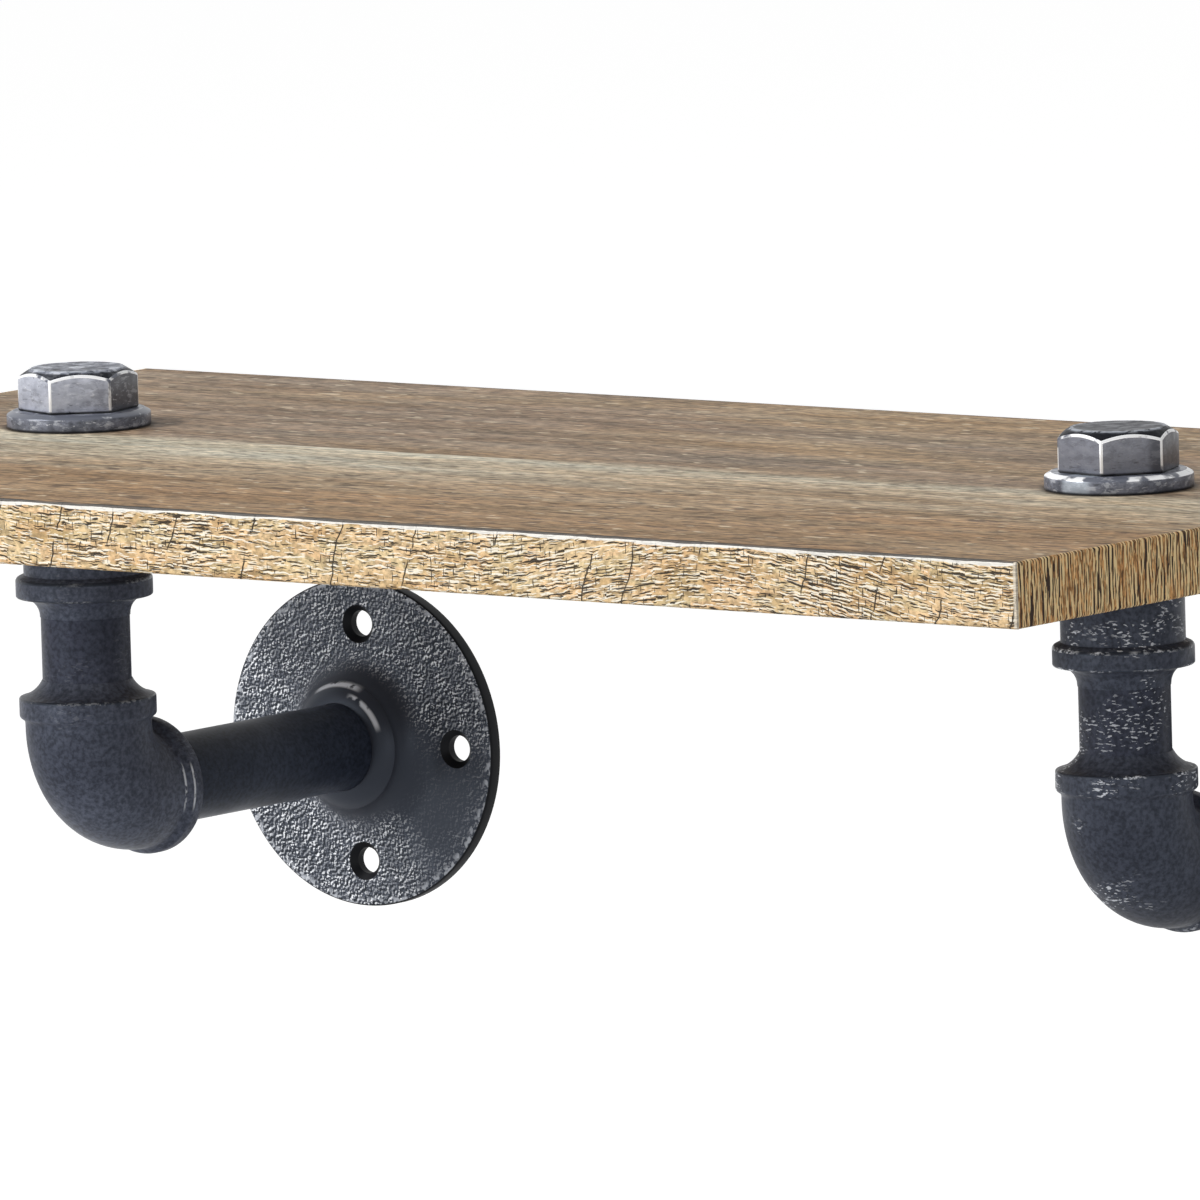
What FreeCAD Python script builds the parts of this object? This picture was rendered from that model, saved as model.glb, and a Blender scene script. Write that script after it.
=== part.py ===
import FreeCAD, Part
import math
import os
import Sketcher

# Pipe shelf: a laminated board that lies on two brackets of half-inch pipe fittings.
# +Z is up and +X runs along the board. The wall is the plane Y = 0 and the shelf stands out of it
# towards -Y. The origin is on the wall, midway between the two flanges, at the height of the arms.

# Driving dimensions: alias, value and what it is. Lengths are in millimetres, angles in degrees.
DRIVING_SIZES = (
    ("board_length", 432, "board, along the wall"),
    ("board_depth", 230, "board, out from the wall"),
    ("board_thickness", 15, "board, with both laminates"),
    ("board_wall_gap", 4, "gap from the wall to the board's back edge"),
    ("laminate_thickness", 0.5, "decor sheet on the board's top and underside"),
    ("edge_band_thickness", 0.8, "glued strip on each edge of the board"),
    ("edge_band_arris", 0.4, "bevel along the outer corners of an edge band"),
    ("board_hole_clearance", 0.35, "radial room round the plug in the board and the washer"),
    ("bracket_spacing", 306, "from one bracket's axis to the other's"),
    ("bracket_reach", 108, "from the wall to the axis of the riser"),
    ("pipe_diameter", 21.3, "outside of a half-inch pipe"),
    ("pipe_wall", 2.6, "wall of the pipe"),
    ("pipe_end_chamfer", 1.0, "bevel on a pipe's end"),
    ("thread_clearance", 0.1, "radial room between a pipe and its socket"),
    ("thread_engagement", 13, "how deep a pipe goes into a fitting"),
    ("socket_shoulder", 1.4, "radial step that stops a pipe in its socket"),
    ("lip_width", 0.35, "flat ring at a socket's mouth"),
    ("band_diameter", 32.8, "raised band round a socket"),
    ("band_length", 4.7, "band, along the pipe"),
    ("band_chamfer", 0.9, "slope from the band down to the casting's body"),
    ("flange_diameter", 80, "wall flange"),
    ("flange_plate", 3.6, "thickness of the flange's plate"),
    ("flange_rim_round", 0.6, "rounded front edge of the plate"),
    ("flange_root_height", 6.3, "hollow root of the hub, upwards from the plate"),
    ("flange_root_width", 8.5, "hollow root of the hub, outwards from the hub"),
    ("flange_root_radius", 8.9, "curve of the hollow root"),
    ("flange_hub_diameter", 31, "hub of the flange"),
    ("flange_hub_land", 0.3, "straight side of the hub, above its root"),
    ("flange_hub_crown", 3, "rounded front of the hub, down to its mouth"),
    ("flange_hub_crown_radius", 7, "curve of the hub's front"),
    ("flange_pipe_stop", 2, "from the wall to the end of the arm pipe"),
    ("flange_hole_circle", 58, "diameter of the circle of screw holes"),
    ("flange_hole_count", 4, "screw holes in a flange"),
    ("flange_hole_diameter", 6.4, "screw hole"),
    ("flange_countersink", 9.4, "mouth of the screw hole"),
    ("flange_countersink_angle", 90, "degrees across the countersink"),
    ("elbow_reach", 28, "from the elbow's centre to the mouth of the upright socket"),
    ("elbow_level_reach", 23.5, "from the elbow's centre to the mouth of the level socket"),
    ("elbow_body_diameter", 30.2, "elbow between its bands"),
    ("elbow_corner_radius", 1.9, "inner corner of the bend"),
    ("elbow_bore", 16, "waterway through the bend"),
    ("elbow_lip_height", 4, "lip of the upright socket, from the band to the mouth"),
    ("elbow_lip_radius", 7.5, "hollow curve of that lip"),
    ("elbow_level_band_diameter", 33.2, "raised band round the level socket"),
    ("elbow_level_band_length", 4, "that band, along the pipe"),
    ("elbow_level_band_slope", 2.5, "run from that band down to the elbow's body"),
    ("elbow_rim_round", 2, "rounded mouth of the level socket"),
    ("riser_exposed", 15.2, "length of riser that shows between elbow and coupling"),
    ("coupling_length", 30.5, "coupling, from its mouth to the board"),
    ("coupling_body_diameter", 28.8, "coupling between its bands"),
    ("coupling_lip_height", 4.7, "coupling's lip, from the mouth to the lower band"),
    ("coupling_lip_radius", 4.2, "hollow fillet of the coupling's lip"),
    ("washer_diameter", 34.4, "washer on top of the board"),
    ("washer_thickness", 4.1, "washer"),
    ("washer_bevel_height", 0.9, "bevel round the washer's top, upwards"),
    ("washer_bevel_width", 1.6, "bevel round the washer's top, inwards"),
    ("plug_across_flats", 25, "hexagon head of the plug"),
    ("plug_head_height", 10, "head of the plug"),
    ("plug_top_diameter", 22, "flat disc on top of the head"),
    ("plug_crown_angle", 32, "degrees, slope of the head's turned crown"),
    ("plug_engagement", 12, "how deep the plug goes into the coupling"),
    ("left_plug_turn", 41, "degrees that the left head is turned"),
    ("right_plug_turn", 50, "degrees that the right head is turned"),
)
SHEET_NAME = "Sizes"
FULL_TURN = 360


class Size:
    """A size that carries its present number and the formula that ties the model to it."""

    def __init__(self, formula, number):
        self.formula = formula
        self.number = number

    def __add__(self, other):
        return Size(f"({self.formula} + {other.formula})", self.number + other.number)

    def __sub__(self, other):
        return Size(f"({self.formula} - {other.formula})", self.number - other.number)

    def __mul__(self, factor):
        return Size(f"({self.formula} * {factor})", self.number * factor)

    def __truediv__(self, divisor):
        return Size(f"({self.formula} / {divisor})", self.number / divisor)

    def __neg__(self):
        return self * -1


ZERO = Size("0", 0.0)


class SizeTable:
    """The driving dimensions, each an attribute under its alias."""

    def __init__(self, doc):
        sheet = doc.addObject("Spreadsheet::Sheet", SHEET_NAME)
        for row, (alias, number, meaning) in enumerate(DRIVING_SIZES, start=1):
            sheet.set(f"A{row}", meaning)
            sheet.set(f"B{row}", str(number))
            sheet.setAlias(f"B{row}", alias)
        doc.recompute()
        for alias, _, _ in DRIVING_SIZES:
            setattr(self, alias, Size(f"{SHEET_NAME}.{alias}", float(sheet.get(alias))))


# Sketches

def start_sketch(body, name, plane, offset=ZERO):
    """An empty sketch on one of the body's own origin planes, or parallel to it."""
    sketch = body.newObject("Sketcher::SketchObject", name)
    support = next(part for part in body.Origin.OriginFeatures if part.Role == plane)
    sketch.AttachmentSupport = (support, [""])
    sketch.MapMode = "FlatFace"
    if offset is not ZERO:
        sketch.setExpression("AttachmentOffset.Base.z", offset.formula)
    return sketch


def hold(sketch, kind, elements, size):
    """Add one dimension and tie it to its size."""
    index = sketch.addConstraint(Sketcher.Constraint(kind, *elements, size.number))
    sketch.setExpression(f"Constraints[{index}]", size.formula)


def hold_point(sketch, element, point, across, up):
    """Hold a point at its distances from the sketch's origin, or on an axis where one is zero."""
    if across is ZERO:
        sketch.addConstraint(Sketcher.Constraint("PointOnObject", element, point, -2))
    else:
        hold(sketch, "DistanceX", (-1, 1, element, point), across)
    if up is ZERO:
        sketch.addConstraint(Sketcher.Constraint("PointOnObject", element, point, -1))
    else:
        hold(sketch, "DistanceY", (-1, 1, element, point), up)


def arc_between(start, end, radius, hollow):
    """The shorter arc from start to end: it turns left, or right where it is hollow."""
    chord = end - start
    middle = start + chord * 0.5
    rise = math.sqrt(max(radius ** 2 - (chord.Length / 2) ** 2, 0.0))
    left = FreeCAD.Vector(-chord.y, chord.x, 0).normalize()
    center = middle - left * rise if hollow else middle + left * rise
    first, last = (end, start) if hollow else (start, end)
    circle = Part.Circle(center, FreeCAD.Vector(0, 0, 1), radius)
    return Part.ArcOfCircle(circle, circle.parameter(first), circle.parameter(last))


def draw_outline(sketch, corners, rounds=None, hollows=None, closed=True):
    """Join corners, in anticlockwise order, by lines, and by arcs on the sides that have a radius."""
    rounds = rounds or {}
    hollows = hollows or {}
    points = [FreeCAD.Vector(across.number, up.number, 0) for across, up in corners]
    count = len(corners)
    sides = count if closed else count - 1
    first_element = sketch.GeometryCount
    ends = []
    for side in range(sides):
        start = points[side]
        end = points[(side + 1) % count]
        radius = hollows.get(side) or rounds.get(side)
        if radius is None:
            sketch.addGeometry(Part.LineSegment(start, end))
        else:
            sketch.addGeometry(arc_between(start, end, radius.number, side in hollows))
        ends.append((2, 1) if side in hollows else (1, 2))
    for side in range(sides):
        element = first_element + side
        following = (side + 1) % count
        if following < sides:
            joint = (element, ends[side][1], first_element + following, ends[following][0])
            sketch.addConstraint(Sketcher.Constraint("Coincident", *joint))
        else:
            hold_point(sketch, element, ends[side][1], *corners[following])
        hold_point(sketch, element, ends[side][0], *corners[side])
        radius = hollows.get(side) or rounds.get(side)
        if radius is not None:
            hold(sketch, "Radius", (element,), radius)


def draw_circle(sketch, across, up, radius):
    """A circle held by its centre and its radius."""
    center = FreeCAD.Vector(across.number, up.number, 0)
    element = sketch.addGeometry(Part.Circle(center, FreeCAD.Vector(0, 0, 1), radius.number))
    hold_point(sketch, element, 3, across, up)
    hold(sketch, "Radius", (element,), radius)


# Features

def start_body(doc, label):
    """An empty body whose label names the piece."""
    body = doc.addObject("PartDesign::Body", label)
    body.Label = label
    return body


def place(body, across=ZERO, out=ZERO, up=ZERO, axis=None, angle=None):
    """Put a body in its place, turned about an axis where it needs a turn."""
    if axis is not None:
        body.Placement.Rotation = FreeCAD.Rotation(axis, angle.number)
        body.setExpression("Placement.Rotation.Angle", angle.formula)
    body.setExpression("Placement.Base.x", across.formula)
    body.setExpression("Placement.Base.y", out.formula)
    body.setExpression("Placement.Base.z", up.formula)


def turn(body, name, corners, plane="XZ_Plane", rounds=None, hollows=None, cut=False):
    """Turn an outline once round the plane's upright axis, as metal or as a cut."""
    sketch = start_sketch(body, f"{name}_outline", plane)
    draw_outline(sketch, corners, rounds, hollows)
    kind = "PartDesign::Groove" if cut else "PartDesign::Revolution"
    feature = body.newObject(kind, name)
    feature.Profile = (sketch, [""])
    feature.ReferenceAxis = (sketch, ["V_Axis"])
    feature.Angle = FULL_TURN
    return feature


def raise_pad(body, name, sketch, length, downwards=False, both_ways=False):
    """Raise a sketch by a length: up, down, or half each way."""
    pad = body.newObject("PartDesign::Pad", name)
    pad.Profile = (sketch, [""])
    pad.setExpression("Length", length.formula)
    pad.Reversed = downwards
    if both_ways:
        pad.SideType = "Symmetric"
    return pad


def follow(body, name, path, radius, start_height, cut=False):
    """Sweep a circle along a path that starts straight down from start_height."""
    ring = start_sketch(body, f"{name}_ring", "XY_Plane", start_height)
    draw_circle(ring, ZERO, ZERO, radius)
    kind = "PartDesign::SubtractivePipe" if cut else "PartDesign::AdditivePipe"
    feature = body.newObject(kind, name)
    feature.Profile = (ring, [""])
    feature.Spine = (path, [f"Edge{index + 1}" for index in range(path.GeometryCount)])
    return feature


# Bracket pieces

def socket_radius(size):
    """Radius of a socket that takes a pipe."""
    return size.pipe_diameter / 2 + size.thread_clearance


def stop_radius(size):
    """Radius of the hole past a socket's shoulder."""
    return socket_radius(size) - size.socket_shoulder


def lip_radius(size):
    """Outer radius of the flat ring at a socket's mouth."""
    return socket_radius(size) + size.lip_width


def board_underside(size):
    """Height of the board's underside above the arms."""
    return size.elbow_reach + size.riser_exposed + size.coupling_length


def make_pipe(doc, label, size, length):
    """A length of pipe, upright on its lower end, with bevelled ends."""
    body = start_body(doc, label)
    outer = size.pipe_diameter / 2
    inner = outer - size.pipe_wall
    mouth = outer - size.pipe_end_chamfer
    corners = (
        (inner, ZERO),
        (mouth, ZERO),
        (outer, size.pipe_end_chamfer),
        (outer, length - size.pipe_end_chamfer),
        (mouth, length),
        (inner, length),
    )
    turn(body, "pipe", corners)
    return body


def make_flange(doc, label, size):
    """A cast wall flange on its back, with the hub upwards."""
    body = start_body(doc, label)
    rim = size.flange_diameter / 2
    hub = size.flange_hub_diameter / 2
    plate = size.flange_plate
    root_top = plate + size.flange_root_height
    land_top = root_top + size.flange_hub_land
    mouth = land_top + size.flange_hub_crown
    corners = (
        (stop_radius(size), ZERO),
        (rim, ZERO),
        (rim, plate - size.flange_rim_round),
        (rim - size.flange_rim_round, plate),
        (hub + size.flange_root_width, plate),
        (hub, root_top),
        (hub, land_top),
        (lip_radius(size), mouth),
        (socket_radius(size), mouth),
        (socket_radius(size), size.flange_pipe_stop),
        (stop_radius(size), size.flange_pipe_stop),
    )
    rim_side = 2
    root_side = 4
    crown_side = 6
    rounds = {rim_side: size.flange_rim_round, crown_side: size.flange_hub_crown_radius}
    turn(body, "casting", corners, rounds=rounds, hollows={root_side: size.flange_root_radius})
    mark = start_sketch(body, "hole_mark", "XY_Plane", plate)
    draw_circle(mark, size.flange_hole_circle / 2, ZERO, size.flange_hole_diameter / 2)
    doc.recompute()
    hole = body.newObject("PartDesign::Hole", "screw_hole")
    hole.Profile = (mark, [""])
    hole.DepthType = "ThroughAll"
    hole.HoleCutType = "Countersink"
    hole.HoleCutCustomValues = True
    hole.setExpression("Diameter", size.flange_hole_diameter.formula)
    hole.setExpression("HoleCutDiameter", size.flange_countersink.formula)
    hole.setExpression("HoleCutCountersinkAngle", size.flange_countersink_angle.formula)
    doc.recompute()
    ring = body.newObject("PartDesign::PolarPattern", "screw_holes")
    ring.Originals = [hole]
    ring.Axis = (mark, ["N_Axis"])
    ring.Angle = FULL_TURN
    ring.setExpression("Occurrences", size.flange_hole_count.formula)
    body.Tip = ring
    return body


def make_elbow(doc, label, size):
    """A cast elbow about its centre, with one socket up and one towards the wall."""
    body = start_body(doc, label)
    core = size.elbow_body_diameter / 2
    bend = core + size.elbow_corner_radius
    band_top = size.elbow_reach - size.elbow_lip_height
    band_foot = band_top - size.band_length
    level_band = size.elbow_level_band_diameter / 2
    level_band_foot = size.elbow_level_reach - size.elbow_level_band_length
    level_rim = size.elbow_level_reach - size.elbow_rim_round
    path = start_sketch(body, "center_line", "YZ_Plane")
    route = (
        (ZERO, band_top),
        (ZERO, bend),
        (bend, ZERO),
        (level_rim, ZERO),
    )
    bend_side = 1
    draw_outline(path, route, rounds={bend_side: bend}, closed=False)
    follow(body, "bend", path, core, band_top)
    upright_socket = (
        (ZERO, band_foot - size.band_chamfer),
        (core, band_foot - size.band_chamfer),
        (size.band_diameter / 2, band_foot),
        (size.band_diameter / 2, band_top),
        (lip_radius(size), size.elbow_reach),
        (ZERO, size.elbow_reach),
    )
    level_socket = (
        (ZERO, level_band_foot - size.elbow_level_band_slope),
        (core, level_band_foot - size.elbow_level_band_slope),
        (level_band, level_band_foot),
        (level_band, level_rim),
        (level_band - size.elbow_rim_round, size.elbow_level_reach),
        (ZERO, size.elbow_level_reach),
    )
    mouth_side = 3
    lip = {mouth_side: size.elbow_lip_radius}
    rim = {mouth_side: size.elbow_rim_round}
    turn(body, "upright_socket", upright_socket, "XZ_Plane", hollows=lip)
    turn(body, "level_socket", level_socket, "XY_Plane", rounds=rim)
    follow(body, "waterway", path, size.elbow_bore / 2, band_top, cut=True)
    for name, plane, mouth in (
        ("upright_room", "XZ_Plane", size.elbow_reach),
        ("level_room", "XY_Plane", size.elbow_level_reach),
    ):
        pipe_room = (
            (ZERO, mouth - size.thread_engagement),
            (socket_radius(size), mouth - size.thread_engagement),
            (socket_radius(size), mouth),
            (ZERO, mouth),
        )
        turn(body, name, pipe_room, plane, cut=True)
    return body


def make_coupling(doc, label, size):
    """A cast coupling on its lower mouth, flat on top where the board lies."""
    body = start_body(doc, label)
    length = size.coupling_length
    band = size.band_diameter / 2
    core = size.coupling_body_diameter / 2
    fillet = size.coupling_lip_radius
    lower_band = size.coupling_lip_height
    body_foot = lower_band + size.band_length + size.band_chamfer
    body_top = length - size.band_length - size.band_chamfer
    corners = (
        (socket_radius(size), ZERO),
        (lip_radius(size), ZERO),
        (lip_radius(size), lower_band - fillet),
        (lip_radius(size) + fillet, lower_band),
        (band, lower_band),
        (band, lower_band + size.band_length),
        (core, body_foot),
        (core, body_top),
        (band, length - size.band_length),
        (band, length),
        (socket_radius(size), length),
        (socket_radius(size), length - size.plug_engagement),
        (stop_radius(size), length - size.plug_engagement),
        (stop_radius(size), size.thread_engagement),
        (socket_radius(size), size.thread_engagement),
    )
    fillet_side = 2
    turn(body, "casting", corners, hollows={fillet_side: fillet})
    return body


def make_washer(doc, label, size):
    """A thick washer on its underside, bevelled round its top."""
    body = start_body(doc, label)
    outer = size.washer_diameter / 2
    inner = size.pipe_diameter / 2 + size.board_hole_clearance
    corners = (
        (inner, ZERO),
        (outer, ZERO),
        (outer, size.washer_thickness - size.washer_bevel_height),
        (outer - size.washer_bevel_width, size.washer_thickness),
        (inner, size.washer_thickness),
    )
    turn(body, "ring", corners)
    return body


def make_plug(doc, label, size):
    """A plug with its shank down and the underside of its hexagon head at height zero."""
    body = start_body(doc, label)
    side_count = 6
    corner_radius = size.plug_across_flats / 2 / math.cos(math.pi / side_count)
    hexagon = start_sketch(body, "hexagon", "XY_Plane")
    corners = []
    for index in range(side_count):
        angle = math.radians(index * FULL_TURN / side_count)
        corners.append((corner_radius * math.cos(angle), corner_radius * math.sin(angle)))
    draw_outline(hexagon, corners)
    raise_pad(body, "head", hexagon, size.plug_head_height)
    shank = start_sketch(body, "shank_ring", "XY_Plane")
    draw_circle(shank, ZERO, ZERO, size.pipe_diameter / 2)
    shank_length = size.washer_thickness + size.board_thickness + size.plug_engagement
    raise_pad(body, "shank", shank, shank_length, downwards=True)
    crown = size.plug_top_diameter / 2
    overhang = corner_radius - crown
    slope = Size(f"tan({size.plug_crown_angle.formula} * 1 deg)",
                 math.tan(math.radians(size.plug_crown_angle.number)))
    drop = Size(f"({overhang.formula} * {slope.formula})", overhang.number * slope.number)
    shaving = (
        (crown, size.plug_head_height),
        (corner_radius, size.plug_head_height - drop),
        (corner_radius, size.plug_head_height),
    )
    turn(body, "crown", shaving, cut=True)
    return body


# Board pieces

def make_panel(doc, label, size, thickness, underside):
    """One layer of the board, with a hole over each bracket."""
    body = start_body(doc, label)
    half_length = size.board_length / 2 - size.edge_band_thickness
    half_depth = size.board_depth / 2 - size.edge_band_thickness
    board_middle = size.board_wall_gap + size.board_depth / 2
    hole_radius = size.pipe_diameter / 2 + size.board_hole_clearance
    sketch = start_sketch(body, "layer", "XY_Plane")
    corners = (
        (-half_length, -half_depth),
        (half_length, -half_depth),
        (half_length, half_depth),
        (-half_length, half_depth),
    )
    draw_outline(sketch, corners)
    for side in (-1, 1):
        draw_circle(sketch, size.bracket_spacing / 2 * side, board_middle - size.bracket_reach, hole_radius)
    raise_pad(body, "sheet", sketch, thickness)
    place(body, out=-board_middle, up=underside)
    return body


def make_edge_band(doc, label, size, run):
    """One glued strip: its outer side towards +X, its run along Y, both outer corners bevelled."""
    body = start_body(doc, label)
    thickness = size.edge_band_thickness
    height = size.board_thickness
    arris = size.edge_band_arris
    sketch = start_sketch(body, "section", "XZ_Plane")
    corners = (
        (ZERO, ZERO),
        (thickness - arris, ZERO),
        (thickness, arris),
        (thickness, height - arris),
        (thickness - arris, height),
        (ZERO, height),
    )
    draw_outline(sketch, corners)
    raise_pad(body, "strip", sketch, run, both_ways=True)
    return body


def build_bracket(doc, size, side_name, side, plug_turn):
    """The seven pieces of one bracket, on the left (side -1) or on the right (side 1)."""
    across = size.bracket_spacing / 2 * side
    riser = -size.bracket_reach
    out_of_wall = Size("90", 90.0)
    flat = FreeCAD.Vector(1, 0, 0)
    upright = FreeCAD.Vector(0, 0, 1)
    arm_room = size.bracket_reach - size.elbow_level_reach - size.flange_pipe_stop
    arm_length = arm_room + size.thread_engagement
    riser_length = size.riser_exposed + size.thread_engagement * 2
    coupling_foot = size.elbow_reach + size.riser_exposed
    board_top = board_underside(size) + size.board_thickness

    flange = make_flange(doc, f"{side_name}_wall_flange", size)
    place(flange, across, axis=flat, angle=out_of_wall)
    arm = make_pipe(doc, f"{side_name}_arm_pipe", size, arm_length)
    place(arm, across, -size.flange_pipe_stop, axis=flat, angle=out_of_wall)
    elbow = make_elbow(doc, f"{side_name}_elbow", size)
    place(elbow, across, riser)
    nipple = make_pipe(doc, f"{side_name}_riser_nipple", size, riser_length)
    place(nipple, across, riser, size.elbow_reach - size.thread_engagement)
    coupling = make_coupling(doc, f"{side_name}_coupling", size)
    place(coupling, across, riser, coupling_foot)
    washer = make_washer(doc, f"{side_name}_washer", size)
    place(washer, across, riser, board_top)
    plug = make_plug(doc, f"{side_name}_hex_plug", size)
    place(plug, across, riser, board_top + size.washer_thickness, axis=upright, angle=plug_turn)
    return [flange, arm, elbow, nipple, coupling, washer, plug]


def build_board(doc, size):
    """The seven pieces of the board: core, two laminates and four edge bands."""
    upright = FreeCAD.Vector(0, 0, 1)
    underside = board_underside(size)
    sheet = size.laminate_thickness
    core_thickness = size.board_thickness - sheet * 2
    half_length = size.board_length / 2 - size.edge_band_thickness
    back = size.board_wall_gap + size.edge_band_thickness
    front = size.board_wall_gap + size.board_depth - size.edge_band_thickness
    middle = size.board_wall_gap + size.board_depth / 2
    end_run = size.board_depth - size.edge_band_thickness * 2
    pieces = [
        make_panel(doc, "board_core", size, core_thickness, underside + sheet),
        make_panel(doc, "top_laminate", size, sheet, underside + size.board_thickness - sheet),
        make_panel(doc, "bottom_laminate", size, sheet, underside),
    ]
    bands = (
        ("right_edge_band", end_run, half_length, -middle, 0),
        ("back_edge_band", size.board_length, ZERO, -back, 90),
        ("left_edge_band", end_run, -half_length, -middle, 180),
        ("front_edge_band", size.board_length, ZERO, -front, 270),
    )
    for label, run, across, out, heading in bands:
        band = make_edge_band(doc, label, size, run)
        place(band, across, out, underside, axis=upright, angle=Size(str(heading), float(heading)))
        pieces.append(band)
    return pieces


def check(doc, pieces):
    """Stop if any object failed to rebuild or any piece isn't one valid solid."""
    for thing in doc.Objects:
        if "Invalid" in thing.State or "Error" in thing.State:
            raise RuntimeError(f"{thing.Label} failed: {thing.State}")
    for piece in pieces:
        shape = piece.Shape
        if shape.isNull() or not shape.isValid() or len(shape.Solids) != 1:
            raise RuntimeError(f"{piece.Label} is not one valid solid")


def main():
    """Build the shelf, check it and write one file for each piece."""
    doc = FreeCAD.newDocument("PipeShelf")
    size = SizeTable(doc)
    pieces = build_board(doc, size)
    pieces += build_bracket(doc, size, "left", -1, size.left_plug_turn)
    pieces += build_bracket(doc, size, "right", 1, size.right_plug_turn)
    doc.recompute()
    check(doc, pieces)
    os.makedirs("parts", exist_ok=True)
    for piece in pieces:
        piece.Shape.exportStep(f"parts/{piece.Label}.step")
        box = piece.Shape.optimalBoundingBox(False)
        print(f"{piece.Label}: {piece.Shape.Volume:.0f} mm3, "
              f"X {box.XMin:.1f} to {box.XMax:.1f}, Y {box.YMin:.1f} to {box.YMax:.1f}, "
              f"Z {box.ZMin:.1f} to {box.ZMax:.1f}")


main()
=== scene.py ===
# %% [markdown]
# # A wall shelf on pipe brackets
# The shelf is a laminated board that lies on two brackets of half-inch pipe fittings. The packed
# model already has every piece at its true size, so this lesson only adds what a camera would notice:
# soft edges on the castings, worn edges on the steel, the printed wood and the light. Lengths are in
# metres, +Z is up, +X runs along the board and the wall is the plane Y = 0.

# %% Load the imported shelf
import math
import bmesh
import bpy
from mathutils import Color, Matrix, Vector


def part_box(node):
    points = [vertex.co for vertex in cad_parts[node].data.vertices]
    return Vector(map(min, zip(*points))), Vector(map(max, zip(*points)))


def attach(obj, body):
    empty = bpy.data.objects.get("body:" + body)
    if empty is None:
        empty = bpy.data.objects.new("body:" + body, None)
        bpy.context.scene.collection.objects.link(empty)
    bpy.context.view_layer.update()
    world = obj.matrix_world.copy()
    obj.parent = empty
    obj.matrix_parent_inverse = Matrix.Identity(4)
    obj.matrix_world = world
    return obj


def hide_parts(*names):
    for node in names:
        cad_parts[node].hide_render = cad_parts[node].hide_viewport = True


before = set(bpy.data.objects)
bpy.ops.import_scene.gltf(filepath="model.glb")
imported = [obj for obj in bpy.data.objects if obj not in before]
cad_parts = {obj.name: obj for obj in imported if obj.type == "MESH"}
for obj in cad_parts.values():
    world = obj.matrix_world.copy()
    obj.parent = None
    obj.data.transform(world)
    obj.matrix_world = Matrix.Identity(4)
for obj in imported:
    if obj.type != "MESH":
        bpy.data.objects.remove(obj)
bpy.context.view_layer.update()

# %% [markdown]
# ## Tools for the pieces
# A fitting is a turned form, so it can be drawn as half of its section and spun once round, just as a
# lathe would cut it. The section is one vertex that is extruded from corner to corner. Its corners are
# rounded by a vertex bevel before the spin, which is far easier than rounding the finished ring.

# %% Draw and spin a section
MM = 0.001
FULL_TURN = 2 * math.pi
MERGE_DISTANCE = 0.002 * MM
CORNER_SEGMENTS = 4
FINE_SPIN = 128


def pick(piece):
    """Select one object alone and make it the active one."""
    bpy.ops.object.select_all(action="DESELECT")
    piece.select_set(True)
    bpy.context.view_layer.objects.active = piece


def edit_all(piece):
    """Open one piece in edit mode with all of its mesh selected."""
    pick(piece)
    bpy.ops.object.mode_set(mode="EDIT")
    bpy.ops.mesh.select_all(action="SELECT")


def draw_section(name, corners):
    """Extrude one vertex along the corners (radius, height) and back to the first, in the XZ plane."""
    bpy.ops.object.select_all(action="DESELECT")
    bpy.ops.mesh.primitive_plane_add(size=MM)
    piece = bpy.context.object
    piece.name = name
    bpy.ops.object.mode_set(mode="EDIT")
    bpy.ops.mesh.select_mode(type="VERT")
    bpy.ops.mesh.merge(type="CENTER")
    points = [Vector((radius, 0, height)) * MM for radius, height in corners]
    bpy.ops.transform.translate(value=points[0])
    for here, there in zip(points, points[1:] + points[:1]):
        bpy.ops.mesh.extrude_vertices_move(TRANSFORM_OT_translate={"value": there - here})
    bpy.ops.mesh.select_all(action="SELECT")
    bpy.ops.mesh.remove_doubles(threshold=MERGE_DISTANCE)
    return piece


def round_corners(piece, corners, size):
    """Round the section's corners that lie at the given (radius, height)."""
    places = [Vector((radius, 0, height)) * MM for radius, height in corners]
    bpy.ops.mesh.select_all(action="DESELECT")
    mesh = bmesh.from_edit_mesh(piece.data)
    for vertex in mesh.verts:
        near = any((vertex.co - place).length < MERGE_DISTANCE for place in places)
        vertex.select_set(near)
    bmesh.update_edit_mesh(piece.data)
    bpy.ops.mesh.bevel(offset=size * MM, segments=CORNER_SEGMENTS, affect="VERTICES")


def close_mesh():
    """Merge what coincides, turn all faces outwards and leave edit mode."""
    bpy.ops.mesh.select_all(action="SELECT")
    bpy.ops.mesh.remove_doubles(threshold=MERGE_DISTANCE)
    bpy.ops.mesh.normals_make_consistent(inside=False)
    bpy.ops.object.mode_set(mode="OBJECT")


def spin_round(steps=FINE_SPIN):
    """Spin the drawn section once round the Z axis."""
    bpy.ops.mesh.select_all(action="SELECT")
    bpy.ops.mesh.spin(steps=steps, angle=FULL_TURN, center=(0, 0, 0), axis=(0, 0, 1))
    close_mesh()


print("sections are spun in", FINE_SPIN, "steps")

# %% [markdown]
# A piece is modelled about the origin, where round numbers are easy to check, and is then moved inside
# edit mode. The object itself stays at the origin, so patterns on object coordinates don't slide.
# With no window open, a turn goes clockwise for a positive angle, so the angle is negated here.

# %% Place, cut and copy a piece
BRACKET_SPACING = 306
BRACKET_REACH = 108
LEFT_AXIS = Vector((-BRACKET_SPACING / 2, -BRACKET_REACH, 0))
BEVEL_SEGMENTS = 2


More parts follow.
